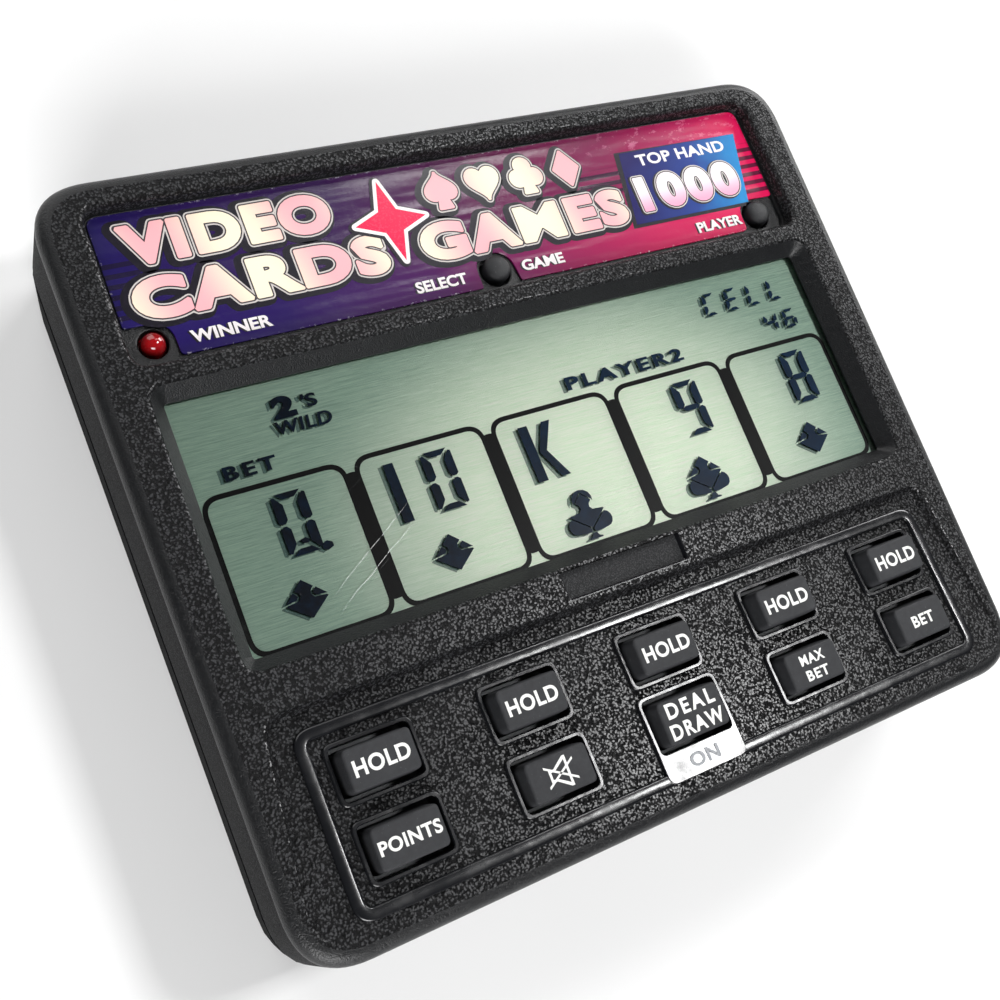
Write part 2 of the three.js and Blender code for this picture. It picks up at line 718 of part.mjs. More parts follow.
CASE_SCREWS.forEach(([x, y], i) => {
  piece(`case_screw_${i + 1}`, buildScrew(x, y, SCREW.seatZ, SCREW.tipZ, SCREW), finish.springSteel);
});

// ---------------------------------------------------------------- cells, contacts, leads

/** An AAA cell along X; its nub points to the given side. */
function buildCell(y, side) {
  const { radius, length, nubRadius, nubLength } = CELL;
  const half = (length + nubLength) / 2;
  const shoulder = half - nubLength;
  const profile = [
    [0, -half],
    [radius - 0.5, -half],
    [radius, -half + 0.5],
    [radius, shoulder - 0.5],
    [radius - 0.5, shoulder],
    [nubRadius, shoulder],
    [nubRadius, half],
    [0, half],
  ].map(([r, z]) => new THREE.Vector2(r, z));
  const geometry = new THREE.LatheGeometry(profile, 24).rotateZ((-side * Math.PI) / 2);
  return solid(geometry.translate(0, y, CELL_Z));
}

/** A conical spring along X that grows towards the wall of the bay. */
function buildSpring(y, side) {
  const turns = 3;
  const perTurn = 10;
  const points = [];
  for (let i = 0; i <= turns * perTurn; i += 1) {
    const along = i / (turns * perTurn);
    const angle = (2 * Math.PI * i) / perTurn;
    const radius = 3.4 - 1.6 * along;
    const x = side * (BAY.halfWidth - 0.75 - 3.0 * along);
    points.push([x, y + radius * Math.cos(angle), CELL_Z + radius * Math.sin(angle)]);
  }
  return wire(points, 0.35, turns * perTurn, 6);
}

function buildContactPlate(y0, y1, side) {
  const [x0, x1] = [side * (BAY.halfWidth - 0.9), side * (BAY.halfWidth - 0.4)].sort((a, b) => a - b);
  return block(x0, x1, y0 - 4.2, y1 + 4.2, CELL_Z - 4.0, CELL_Z + 4.4);
}

function buildNub(y, side) {
  const x = side * (BAY.halfWidth - 1.5);
  const geometry = new THREE.CylinderGeometry(1.5, 2.2, 1.6, 16).rotateZ((side * Math.PI) / 2);
  return solid(geometry.translate(x, y, CELL_Z));
}

const [lowerRow, upperRow] = CELL_ROWS_Y;
piece('cell_1', buildCell(lowerRow, -1), finish.cellJacket);
piece('cell_2', buildCell(upperRow, 1), finish.cellJacket);
piece('contact_positive', joined(
  buildContactPlate(lowerRow, lowerRow, -1),
  buildNub(lowerRow, -1),
), finish.springSteel);
piece('contact_negative', joined(
  buildContactPlate(upperRow, upperRow, -1),
  buildSpring(upperRow, -1),
), finish.springSteel);
piece('contact_link', joined(
  buildContactPlate(lowerRow, upperRow, 1),
  buildSpring(lowerRow, 1),
  buildNub(upperRow, 1),
), finish.springSteel);

/** A lead from a contact through the wall of the bay to the underside of the board. */
function buildLead(y, end) {
  const x = -BAY.halfWidth + 0.2;
  return wire([
    [x, y, 11.15],
    [x - 2.5, y, 11.15],
    [x - 5.5, y, 11.0],
    [x - 8.0, y - 4.0, 11.0],
    [end, 10, 11.4],
    [end, 9, 12.4],
    [end, 9, boardUnder],
  ], 0.5, 24);
}

/** A lead from the piezo disc up to the underside of the board. */
function buildPiezoLead(offset) {
  const z = WALL + 1.35;
  return wire([
    [PIEZO.x + offset, PIEZO.y + 2, z],
    [PIEZO.x + offset, PIEZO.y + 8, z + 0.6],
    [PIEZO.x + offset + 3, PIEZO.y + 13, 7],
    [PIEZO.x + offset + 4, PIEZO.y + 14, boardUnder],
  ], 0.45, 16);
}

piece('battery_lead_red', buildLead(lowerRow, -38), finish.redInsulation);
piece('battery_lead_black', buildLead(upperRow, -42), finish.blackInsulation);
piece('piezo_lead_red', buildPiezoLead(-3), finish.redInsulation);
piece('piezo_lead_black', buildPiezoLead(3), finish.blackInsulation);

export default machine;
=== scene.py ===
"""The looks of a handheld video poker machine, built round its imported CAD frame.

The machine lies on its back. +X is to the right of someone reading the display, +Y is towards
the label, and +Z comes out of the face. Sizes are in millimetres and Surface turns them into
metres when a piece is made.
"""

import logging
import math
from collections.abc import Callable, Iterable, Sequence
from dataclasses import dataclass, field
from enum import Enum

import bpy
from mathutils import Euler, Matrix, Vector
from mathutils.geometry import delaunay_2d_cdt, tessellate_polygon


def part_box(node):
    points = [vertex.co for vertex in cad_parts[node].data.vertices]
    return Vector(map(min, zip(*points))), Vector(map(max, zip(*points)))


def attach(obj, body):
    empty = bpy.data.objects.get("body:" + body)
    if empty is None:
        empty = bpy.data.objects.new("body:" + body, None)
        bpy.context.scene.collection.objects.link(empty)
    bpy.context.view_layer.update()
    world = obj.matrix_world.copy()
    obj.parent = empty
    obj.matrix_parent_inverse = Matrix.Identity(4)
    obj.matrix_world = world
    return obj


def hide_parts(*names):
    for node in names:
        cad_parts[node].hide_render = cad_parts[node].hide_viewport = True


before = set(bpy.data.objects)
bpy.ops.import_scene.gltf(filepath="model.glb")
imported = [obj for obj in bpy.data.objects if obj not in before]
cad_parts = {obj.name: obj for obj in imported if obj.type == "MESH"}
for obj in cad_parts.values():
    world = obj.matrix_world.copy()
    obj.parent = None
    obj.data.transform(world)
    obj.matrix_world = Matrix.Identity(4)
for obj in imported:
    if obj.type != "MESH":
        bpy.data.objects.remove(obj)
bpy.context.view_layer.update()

LOG = logging.getLogger("video_poker_machine")
MM = 0.001
CASE = "case"
HERE = (0.0, 0.0)
NEVER = 1000.0
GLAZE = {"Coat Weight": 0.5, "Coat Roughness": 0.08}
OPAQUE = (1.0,)

Point = tuple[float, float]
Corner = tuple[float, float, float]
Colour = tuple[float, float, float, float]
Height = float | Callable[[float, float], float]


def shade(red: int, green: int, blue: int) -> Colour:
    """Linear colour from the 0 to 255 numbers of a paint chart.

    Args:
        red: red level.
        green: green level.
        blue: blue level.

    Returns:
        Red, green, blue and an alpha of 1.
    """
    levels = (red, green, blue)
    linear = (((c / 255 + 0.055) / 1.055) ** 2.4 if c > 10 else c / 3295 for c in levels)
    return (*linear, 1.0)


# ------------------------------------------------------------------ outlines


def rounded_polygon(corners: Sequence[Corner], steps: int = 6) -> list[Point]:
    """An outline whose corners are rounded.

    Args:
        corners: x, y and rounding of each corner, counter-clockwise.
        steps: points on each rounding, less one.

    Returns:
        The points of the outline, always steps + 1 for each corner.
    """
    points = []
    for i, (x, y, rounding) in enumerate(corners):
        here = Vector((x, y))
        ends = [Vector(corners[j % len(corners)][:2]) for j in (i - 1, i + 1)]
        start, end = (here + (other - here).normalized() * rounding for other in ends)
        for k in range(steps + 1):
            t = k / steps
            point = start * (1 - t) ** 2 + here * (2 * t * (1 - t)) + end * t**2
            points.append((point.x, point.y))
    return points


def circle(x: float, y: float, radius: float, steps: int = 40) -> list[Point]:
    """A round outline about a centre."""
    turns = (2 * math.pi / steps * i for i in range(steps))
    return [(x + radius * math.cos(a), y + radius * math.sin(a)) for a in turns]


def moved(loop: Iterable[Point], x: float, y: float) -> list[Point]:
    """An outline moved sideways."""
    return [(a + x, b + y) for a, b in loop]


def mirrored(loop: Sequence[Point], axis: float = 0.0) -> list[Point]:
    """An outline mirrored about an upright line, running the same way round."""
    return [(2 * axis - a, b) for a, b in loop][::-1]


def upended(loop: Sequence[Point], level: float) -> list[Point]:
    """An outline mirrored about a level line, running the same way round."""
    return [(a, 2 * level - b) for a, b in loop][::-1]


def between(a: Sequence[Point], b: Sequence[Point], shares: Sequence[float]) -> list[Point]:
    """An outline part of the way from one outline to another, by a share at each point."""
    return [(p[0] + (q[0] - p[0]) * s, p[1] + (q[1] - p[1]) * s) for p, q, s in zip(a, b, shares)]


def turn_of(a: Point, b: Point, c: Point) -> float:
    """Twice the area of a triangle, positive when it runs counter-clockwise."""
    return (b[0] - a[0]) * (c[1] - a[1]) - (b[1] - a[1]) * (c[0] - a[0])


def area_of(loop: Sequence[Point]) -> float:
    """Area of a loop, negative when it runs clockwise."""
    return sum(a[0] * b[1] - b[0] * a[1] for a, b in zip(loop, [*loop[1:], loop[0]])) / 2


def inside(point: Point, loop: Sequence[Point]) -> bool:
    """Whether a point lies within a loop.

    Args:
        point: the place to test.
        loop: the outline.

    Returns:
        True when it does.
    """
    x, y = point
    crossings = 0
    for a, b in zip(loop, [*loop[1:], loop[0]]):
        if (a[1] > y) != (b[1] > y) and x < a[0] + (y - a[1]) / (b[1] - a[1]) * (b[0] - a[0]):
            crossings += 1
    return crossings % 2 == 1


def chained(edges: Iterable[tuple[int, int]]) -> list[list[int]]:
    """Edges that run nose to tail, gathered into loops.

    Args:
        edges: pairs of point numbers, in the direction they run.

    Returns:
        The point numbers of each loop.
    """
    onwards: dict[int, list[int]] = {}
    for a, b in edges:
        onwards.setdefault(a, []).append(b)
    loops = []
    while onwards:
        start = next(iter(onwards))
        loop, here = [], start
        while here in onwards:
            following = onwards[here].pop()
            if not onwards[here]:
                del onwards[here]
            loop.append(here)
            here = following
        loops.append(loop)
    return loops


def outer_edges(faces: Iterable[Sequence[int]]) -> list[tuple[int, int]]:
    """Edges that only one face has.

    Args:
        faces: point numbers of each face.

    Returns:
        The edges, in the direction their faces give them.
    """
    edges = {}
    for face in faces:
        for a, b in zip(face, [*face[1:], face[0]]):
            if (b, a) in edges:
                del edges[(b, a)]
            else:
                edges[(a, b)] = True
    return list(edges)


def spread(faces: Sequence[Sequence[Point]], reach: float) -> list[list[Point]]:
    """Loops round everything that lies within a reach of some flat faces.

    Args:
        faces: counter-clockwise faces; the edges that they share have the same end points.
        reach: how far to spread.

    Returns:
        The loops, outer ones counter-clockwise and holes clockwise.
    """
    numbers: dict[Point, int] = {}
    rounded = [[(round(x, 4), round(y, 4)) for x, y in face] for face in faces]
    keyed = [[numbers.setdefault(p, len(numbers)) for p in face] for face in rounded]
    places = list(numbers)
    shapes = [face for face in rounded if area_of(face) > 1e-5]
    for a, b in outer_edges(keyed) if reach > 0 else []:
        start, end = Vector(places[a]), Vector(places[b])
        way = math.atan2(end.y - start.y, end.x - start.x)
        capsule = []
        for middle, first in ((start, way + math.pi / 2), (end, way - math.pi / 2)):
            for k in range(7):
                t = first + k * math.pi / 6
                capsule.append((middle.x + reach * math.cos(t), middle.y + reach * math.sin(t)))
        shapes.append(capsule)
    points = [Vector(p) for shape in shapes for p in shape]
    runs, start = [], 0
    for shape in shapes:
        runs.append(list(range(start, start + len(shape))))
        start += len(shape)
    placed, _, made, _, _, sources = delaunay_2d_cdt(points, [], runs, 0, 1e-5)
    kept = [face for face, source in zip(made, sources) if source]
    loops = []
    for loop in chained(outer_edges(kept)):
        outline = [(placed[i].x, placed[i].y) for i in loop]
        around = zip(outline[-1:] + outline[:-1], outline, outline[1:] + outline[:1])
        slim = [b for a, b, c in around if abs(turn_of(a, b, c)) > 4e-4]
        if len(slim) > 3:
            loops.append(slim)
    return loops


def middle_of(node: str) -> Point:
    """Middle of a CAD node in plan."""
    low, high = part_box(node)
    return (low.x + high.x) / 2 / MM, (low.y + high.y) / 2 / MM


@dataclass(frozen=True)
class Box:
    """A rectangle with rounded corners, in plan."""

    left: float
    bottom: float
    right: float
    top: float
    rounding: float = 0.05

    @classmethod
    def about(cls, x: float, y: float, width: float, depth: float, rounding: float = 0.05) -> "Box":
        """A box from its middle and its size."""
        return cls(x - width / 2, y - depth / 2, x + width / 2, y + depth / 2, rounding)

    @classmethod
    def over(cls, node: str, rounding: float) -> "Box":
        """The plan of a CAD node."""
        low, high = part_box(node)
        return cls(low.x / MM, low.y / MM, high.x / MM, high.y / MM, rounding)

    def loop(self, grow: float = 0.0, steps: int = 6) -> list[Point]:
        """The outline, moved outwards by grow.

        Args:
            grow: how far to move the outline outwards.
            steps: points on each rounding, less one.

        Returns:
            The points of the outline.
        """
        r = max(self.rounding + grow, 0.02)
        return rounded_polygon(
            [
                (self.left - grow, self.bottom - grow, r),
                (self.right + grow, self.bottom - grow, r),
                (self.right + grow, self.top + grow, r),
                (self.left - grow, self.top + grow, r),
            ],
            steps,
        )


LABEL_BOX = Box(-47.4, 23.2, 47.4, 41.8)


# ------------------------------------------------------------------ shader maths


class Value:
    """A number or colour on a shader socket. Python arithmetic on it adds Math nodes."""

    def __init__(self, tree: "Tree", socket: bpy.types.NodeSocket) -> None:
        """Wraps an output socket."""
        self.tree = tree
        self.socket = socket

    def _math(self, operation: str, *operands: "Value | float") -> "Value":
        """Adds one Math node."""
        return self.tree.node("ShaderNodeMath", {"operation": operation}, dict(enumerate(operands)))

    def __add__(self, other: "Value | float") -> "Value":
        """Sum."""
        return self._math("ADD", self, other)

    __radd__ = __add__

    def __sub__(self, other: "Value | float") -> "Value":
        """Difference."""
        return self._math("SUBTRACT", self, other)

    def __rsub__(self, other: "Value | float") -> "Value":
        """Difference with this value second."""
        return self._math("SUBTRACT", other, self)

    def __mul__(self, other: "Value | float") -> "Value":
        """Product."""
        return self._math("MULTIPLY", self, other)

    __rmul__ = __mul__

    def __truediv__(self, other: float) -> "Value":
        """Quotient."""
        return self._math("DIVIDE", self, other)

    def least(self, other: "Value | float") -> "Value":
        """The smaller of the two."""
        return self._math("MINIMUM", self, other)

    def most(self, other: "Value | float") -> "Value":
        """The larger of the two."""
        return self._math("MAXIMUM", self, other)

    def size(self) -> "Value":
        """The value without its sign."""
        return self._math("ABSOLUTE", self)

    def sine(self) -> "Value":
        """Sine of the value in radians."""
        return self._math("SINE", self)

    def zigzag(self, height: float) -> "Value":
        """The value folded up and down between 0 and a height."""
        return self._math("PINGPONG", self, height)

    def rise(self, low: float, high: float) -> "Value":
        """0 below low, 1 above high and a smooth step between them.

        Args:
            low: value where the step starts.
            high: value where the step ends.

        Returns:
            The step, from 0 to 1.
        """
        return self.tree.node(
            "ShaderNodeMapRange",
            {"interpolation_type": "SMOOTHSTEP"},
            {"Value": self, "From Min": low, "From Max": high},
        )


class Tree:
    """The node tree of one new material."""

    def __init__(self, name: str) -> None:
        """Makes the material with an empty tree and millimetre coordinates.

        Args:
            name: name of the material.
        """
        self.material = bpy.data.materials.new(name)
        self.material.use_nodes = True
        self.nodes = self.material.node_tree.nodes
        self.nodes.clear()
        place = self.node("ShaderNodeTexCoord", {}, {}, "Object")
        self.place = self.vector("SCALE", place, Scale=1 / MM)
        split = self.node("ShaderNodeSeparateXYZ", {}, {"Vector": self.place})
        self.x, self.y, self.z = (Value(self, split.socket.node.outputs[i]) for i in range(3))

    def node(self, kind: str, settings: dict, inputs: dict, output: str | int = 0) -> Value:
        """Adds a node.

        Args:
            kind: the node's type.
            settings: its properties, set first; "stops" holds the (place, colour) pairs of a ramp.
            inputs: a value or a link for each named or numbered socket.
            output: which output socket to return.

        Returns:
            The output socket, wrapped.
        """
        made = self.nodes.new(kind)
        for key, setting in settings.items():
            if key == "stops":
                elements = made.color_ramp.elements
                while len(elements) < len(setting):
                    elements.new(0.5)
                for element, (place, colour) in zip(elements, setting):
                    element.position = place
                    element.color = colour
            else:
                setattr(made, key, setting)
        for key, given in inputs.items():
            if isinstance(given, Value):
                self.material.node_tree.links.new(given.socket, made.inputs[key])
            else:
                made.inputs[key].default_value = given
        return Value(self, made.outputs[output])

    def vector(
        self, operation: str, first: Value, second: Value | Corner = (0, 0, 0), **named: float
    ) -> Value:
        """Adds a Vector Math node."""
        inputs = {0: first, 1: second, **named}
        return self.node("ShaderNodeVectorMath", {"operation": operation}, inputs)

    def stretched(self, x: float, y: float, z: float = 1.0) -> Value:
        """The place in millimetres, scaled differently along each axis."""
        return self.vector("MULTIPLY", self.place, (x, y, z))

    def noise(
        self, scale: float, detail: float = 2.0, rough: float = 0.5, at: Value | None = None
    ) -> Value:
        """Soft random value near 0.5, with scale features to the millimetre."""
        inputs = {"Vector": at or self.place, "Scale": scale, "Detail": detail, "Roughness": rough}
        return self.node("ShaderNodeTexNoise", {}, inputs)

    def cells(self, scale: float, feature: str = "F1", at: Value | None = None) -> Value:
        """Distance from scattered points, with scale cells to the millimetre."""
        inputs = {"Vector": at or self.place, "Scale": scale}
        return self.node("ShaderNodeTexVoronoi", {"feature": feature}, inputs)

    def mix(self, share: Value | float, low: Value | Colour, high: Value | Colour) -> Value:
        """Blend of two colours."""
        return self.node("ShaderNodeMix", {"data_type": "RGBA"}, {0: share, 6: low, 7: high}, 2)

    def ramp(self, share: Value, stops: Sequence[tuple[float, Colour]]) -> Value:
        """Colour from a ramp."""
        return self.node("ShaderNodeValToRGB", {"stops": stops}, {0: share})

    def bump(self, height: Value, depth: float) -> Value:
        """Normal of a surface whose height runs over a depth in millimetres."""
        inputs = {"Height": height, "Distance": depth * MM, "Strength": 1.0}
        return self.node("ShaderNodeBump", {}, inputs)

    def plastic(self, inputs: dict) -> Value:
        """The Principled shader."""
        return self.node("ShaderNodeBsdfPrincipled", {}, inputs)

    def show(self, shader: Value) -> bpy.types.Material:
        """Puts a shader on the surface.

        Args:
            shader: the surface shader.

        Returns:
            The material.
        """
        made = self.nodes.new("ShaderNodeOutputMaterial")
        self.material.node_tree.links.new(shader.socket, made.inputs["Surface"])
        return self.material


# ------------------------------------------------------------------ finishes


@dataclass(frozen=True)
class Finish:
    """A surface finish. Each kind fills in its own shader."""

    name: str

    def shader(self, tree: Tree) -> Value:
        """The shader of this finish."""
        raise NotImplementedError

    def material(self) -> bpy.types.Material:
        """The material, made on first use.

        Returns:
            The material.
        """
        found = bpy.data.materials.get(self.name)
        if found is None:
            tree = Tree(self.name)
            found = tree.show(self.shader(tree))
        return found


@dataclass(frozen=True)
class GrainedPlastic(Finish):
    """Moulded ABS with a coarse leather grain and worn, shinier high spots, whose glints are
    painted lighter into the colour.
    """

    colour: Colour = shade(5, 5, 7)
    # painted highlight: the lighter colour given to the crests to stand in for glints
    crest_glint: Colour = shade(60, 61, 64)
    grain: float = 2.9
    depth: float = 0.5
    roughness: float = 0.26
    smooth_above: float = NEVER
    valley: float = 0.2
    shine: float = 0.22
    gloss: float = 1.0

    def shader(self, tree: Tree) -> Value:
        """Grain in three sizes, with dust in its low spots and painted highlights: the crests are
        coloured lighter to stand in for glints.

        Args:
            tree: the node tree of the material.

        Returns:
            The shader.
        """
        warp = tree.node("ShaderNodeTexNoise", {}, {"Vector": tree.place, "Scale": 1.1}, "Color")
        bent = tree.vector("ADD", tree.place, tree.vector("SCALE", warp, Scale=0.5))
        pebbles = tree.cells(self.grain, "F1", bent)
        creases = tree.noise(self.grain * 1.5, 3, 0.6, bent)
        fine = tree.noise(self.grain * 6, 2, 0.5)
        moulded = 1 - tree.z.rise(self.smooth_above, self.smooth_above + 0.8) * 0.9
        height = (creases * 0.7 + fine * 0.12 - pebbles * pebbles * 0.7) * moulded
        crests = height.rise(0.2, 0.42) * moulded
        wear_and_glint_strength = tree.noise(0.06, 3, 0.6)
        dust = tree.noise(7, 1).rise(0.7, 0.8) * tree.noise(0.15, 2).rise(0.5, 0.7)
        # painted highlight: crests coloured lighter as glints, stronger where the wear noise is
        # high
        colour = tree.mix(crests * (wear_and_glint_strength * 0.5 + 0.55), self.colour, self.crest_glint)
        return tree.plastic(
            {
                "Base Color": tree.mix(dust * 0.35, colour, shade(120, 118, 112)),
                "Roughness": self.roughness + (1 - crests) * self.valley + wear_and_glint_strength * 0.06,
                "Normal": tree.bump(height, self.depth),
                "Specular IOR Level": self.shine,
                "Coat Weight": crests * self.gloss,
                "Coat Roughness": 0.31,
            }
        )


@dataclass(frozen=True)
class PolishedPlastic(Finish):
    """Smooth moulded ABS with hairline scratches and a slight ripple."""

    colour: Colour = shade(18, 19, 22)
    roughness: float = 0.2

    def shader(self, tree: Tree) -> Value:
        """Scratches in the roughness and a ripple in the normal.

        Args:
            tree: the node tree of the material.

        Returns:
            The shader.
        """
        hairs = tree.noise(1.0, 3, 0.7, tree.stretched(0.3, 9.0)).rise(0.62, 0.8)
        ripple = tree.noise(0.35, 2)
        smudge = tree.noise(0.22, 3, 0.6).rise(0.4, 0.75)
        return tree.plastic(
            {
                "Base Color": tree.mix(hairs * 0.06, self.colour, shade(86, 88, 94)),
                "Roughness": self.roughness + hairs * 0.08 + smudge * 0.1,
                "Normal": tree.bump(ripple, 0.05),
                "Specular IOR Level": 0.62,
            }
        )


@dataclass(frozen=True)
class Rubber(Finish):
    """Silicone rubber with a fine matt skin, a little shiny where fingers rub it."""

    colour: Colour = shade(66, 67, 70)
    roughness: float = 0.62

    def shader(self, tree: Tree) -> Value:
        """Fine mottling, lint and a rubbed sheen.

        Args:
            tree: the node tree of the material.

        Returns:
            The shader.
        """
        skin = tree.noise(14, 3, 0.7)
        mottle = tree.noise(1.3, 3, 0.6)
        blotchy = tree.noise(0.3, 2).rise(0.45, 0.7)
        lint = tree.noise(9, 1, 0.5, tree.stretched(1.0, 0.3)).rise(0.72, 0.8)
        dark = tuple(c * 0.8 for c in self.colour[:3]) + OPAQUE
        colour = tree.mix(mottle.rise(0.3, 0.7), dark, self.colour)
        return tree.plastic(
            {
                "Base Color": tree.mix(lint * 0.25, colour, shade(150, 150, 148)),
                "Roughness": self.roughness - blotchy * 0.1 + skin * 0.08,
                "Normal": tree.bump(skin, 0.03),
                "Specular IOR Level": 0.4,
            }
        )


@dataclass(frozen=True)
class Ink(Finish):
    """Printed ink with slightly broken cover."""

    colour: Colour = shade(236, 236, 232)
    worn: Colour = shade(170, 170, 166)
    roughness: float = 0.45
    coat: float = 0.0
    shine: float = 0.5

    def shader(self, tree: Tree) -> Value:
        """Pinholes and thin patches in the ink.

        Args:
            tree: the node tree of the material.

        Returns:
            The shader.
        """
        thin = tree.noise(3.2, 3, 0.65).rise(0.5, 0.78)
        return tree.plastic(
            {
                "Base Color": tree.mix(thin * 0.45, self.colour, self.worn),
                "Roughness": self.roughness + thin * 0.1,
                "Coat Weight": self.coat,
                "Coat Roughness": 0.12,
                "Specular IOR Level": self.shine,
            }
        )


@dataclass(frozen=True)
class LabelFilm(Finish):
    """The printed label: indigo to hot pink with dark lines, under a worn glossy film."""

    box: Box = LABEL_BOX

    def shader(self, tree: Tree) -> Value:
        """Gradient, lines, scuffed edges, creases in the film and a painted glare at the upper
        right.

        Args:
            tree: the node tree of the material.

        Returns:
            The shader.
        """
        box = self.box
        along = (tree.x - box.left) / (box.right - box.left)
        drift = along + (tree.noise(0.12, 2) - 0.5) * 0.05
        low = tree.ramp(
            drift,
            [
                (0.0, shade(26, 10, 92)),
                (0.2, shade(36, 13, 88)),
                (0.42, shade(72, 14, 84)),
                (0.58, shade(128, 16, 80)),
                (0.76, shade(190, 14, 84)),
                (1.0, shade(226, 4, 84)),
            ],
        )
        deep = tree.ramp(
            drift,
            [
                (0.0, shade(24, 12, 82)),
                (0.3, shade(48, 14, 72)),
                (0.5, shade(80, 13, 68)),
                (0.75, shade(128, 14, 72)),
                (0.9, shade(180, 16, 84)),
                (1.0, shade(226, 4, 84)),
            ],
        )
        base = tree.mix(tree.y.rise(26, 32), low, deep)
        lines = ((tree.y * (2 * math.pi / 1.3)).sine()).rise(-0.1, 0.2)
        left_zone = 1 - (tree.x - tree.y * 0.5).rise(-60.5, -60)
        right_zone = tree.x.rise(42.6, 43.0)
        gap_zone = tree.x.rise(16.5, 17.2) * tree.y.rise(32.4, 32.8)
        zone = left_zone.most(right_zone).most(gap_zone) * tree.y.rise(28.2, 28.6)
        zone = zone * (1 - tree.y.rise(36.2, 36.6))
        printed = tree.mix(lines * zone * 0.85, base, shade(20, 10, 40))
        depth = (tree.x - box.left).least(box.right - tree.x).least(tree.y - box.bottom)
        edge = depth.least(box.top - tree.y)
        scuffs = (1 - edge.rise(0.05, 0.3)) * tree.noise(1.3, 4, 0.75).rise(0.56, 0.7)
        blotchy = tree.noise(1.1, 4, 0.7, tree.stretched(0.6, 1.0)).rise(0.56, 0.66)
        # painted glare: pale pink patches at the upper right stand in for a reflection of a light
        painted_glare = blotchy * tree.x.rise(14, 26) * tree.y.rise(37.8, 39.4)
        colour = tree.mix(scuffs * 0.8, printed, shade(214, 206, 224))
        crease = tree.noise(0.09, 2, 0.5, tree.stretched(0.5, 3.2))
        return tree.plastic(
            {
                "Base Color": tree.mix(painted_glare * 0.3, colour, shade(246, 150, 190)),
                "Roughness": 0.26 + scuffs * 0.4 + painted_glare * 0.15,
                "Normal": tree.bump(crease + tree.noise(0.9, 2) * 0.06, 0.35),
            }
            | GLAZE
        )


@dataclass(frozen=True)
class PaneInk(Finish):
    """A slanted panel printed from navy at the left to bright blue at the lower right."""

    left: float = 23.0
    right: float = 45.0

    def shader(self, tree: Tree) -> Value:
        """Blue gradient with a soft mottled glaze.

        Args:
            tree: the node tree of the material.

        Returns:
            The shader.
        """
        along = (tree.x - self.left) / (self.right - self.left)
        share = along + (33 - tree.y) * 0.016 + (tree.noise(0.25, 3) - 0.5) * 0.25
        stops = [(0.1, shade(32, 28, 92)), (0.62, shade(40, 66, 142)), (0.95, shade(34, 138, 204))]
        return tree.plastic({"Base Color": tree.ramp(share, stops), "Roughness": 0.24} | GLAZE)


@dataclass(frozen=True)
class LetterInk(Finish):
    """Letter filling that runs from cream to pink and back, every few letters."""

    cream: Colour = shade(255, 244, 214)
    pink: Colour = shade(250, 180, 186)
    period: float = 9.5

    def shader(self, tree: Tree) -> Value:
        """Folded gradient along the label.

        Args:
            tree: the node tree of the material.

        Returns:
            The shader.
        """
        share = (tree.x + tree.y * 0.25 + 60).zigzag(self.period) / self.period
        speck = tree.noise(6, 2).rise(0.66, 0.74)
        colour = tree.mix(share.rise(0.1, 0.9), self.cream, self.pink)
        return tree.plastic(
            {
                "Base Color": tree.mix(speck * 0.25, colour, shade(226, 196, 170)),
                "Roughness": 0.28,
            }
            | GLAZE
        )


@dataclass(frozen=True)
class NumberInk(Finish):
    """Filling of the large number: white above, pink below."""

    middle: float = 31.6
    half: float = 2.6

    def shader(self, tree: Tree) -> Value:
        """Upright gradient with faint specks.

        Args:
            tree: the node tree of the material.

        Returns:
            The shader.
        """
        share = tree.y.rise(self.middle - self.half, self.middle + self.half * 0.5)
        speck = tree.noise(6, 2).rise(0.66, 0.74)
        colour = tree.mix(share, shade(244, 168, 196), shade(252, 240, 246))
        return tree.plastic(
            {
                "Base Color": tree.mix(speck * 0.25, colour, shade(214, 190, 210)),
                "Roughness": 0.28,
            }
            | GLAZE
        )


@dataclass(frozen=True)
class BrushedReflector(Finish):
    """The grey-green foil behind the liquid crystal, brushed from side to side."""

    colour: Colour = shade(164, 192, 172)
    dull: Colour = shade(122, 150, 136)

    def shader(self, tree: Tree) -> Value:
        """Long streaks in colour, roughness and height, and a painted highlight: a pale pool of
        light in the lower middle.

        Args:
            tree: the node tree of the material.

        Returns:
            The shader.
        """
        streaks = tree.noise(1.0, 5, 0.75, tree.stretched(0.1, 4.5))
        threads = tree.noise(1.0, 3, 0.7, tree.stretched(0.35, 9.0))
        blotch = tree.noise(0.06, 2)
        share = streaks.rise(0.35, 0.65) * 0.5 + threads.rise(0.35, 0.65) * 0.5 + blotch * 0.2
        across, down = (tree.x - 5) / 43, (tree.y + 6) / 30
        # painted highlight: a pale glow round the lower middle stands in for the reflected light
        painted_highlight = 1 - (across * across + down * down).rise(0.0, 1.0)
        base = tree.mix(share, self.dull, self.colour)
        bright = tree.mix(share, shade(224, 250, 216), shade(252, 255, 242))
        return tree.plastic(
            {
                "Base Color": tree.mix(painted_highlight * 0.95, base, bright),
                "Metallic": 0.3,
                "Roughness": 0.42 + threads * 0.12,
                "Normal": tree.bump(threads + streaks, 0.03),
            }
        )


@dataclass(frozen=True)
class SegmentInk(Finish):
    """Switched liquid crystal: a blue-black that is a little uneven."""

    colour: Colour = shade(2, 14, 30)
    lighter: Colour = shade(10, 58, 96)
    spread: float = 0.5

    def shader(self, tree: Tree) -> Value:
        """Slow drift between two darks.

        Args:
            tree: the node tree of the material.

        Returns:
            The shader.
        """
        drift = tree.noise(0.5, 3, 0.7).rise(0.3, 0.8)
        right = tree.x.rise(-40, 30)
        return tree.plastic(
            {
                "Base Color": tree.mix(
                    drift * 0.35 + right * self.spread, self.colour, self.lighter
                ),
                "Roughness": 0.35,
                "Specular IOR Level": 0.12,
            }
        )


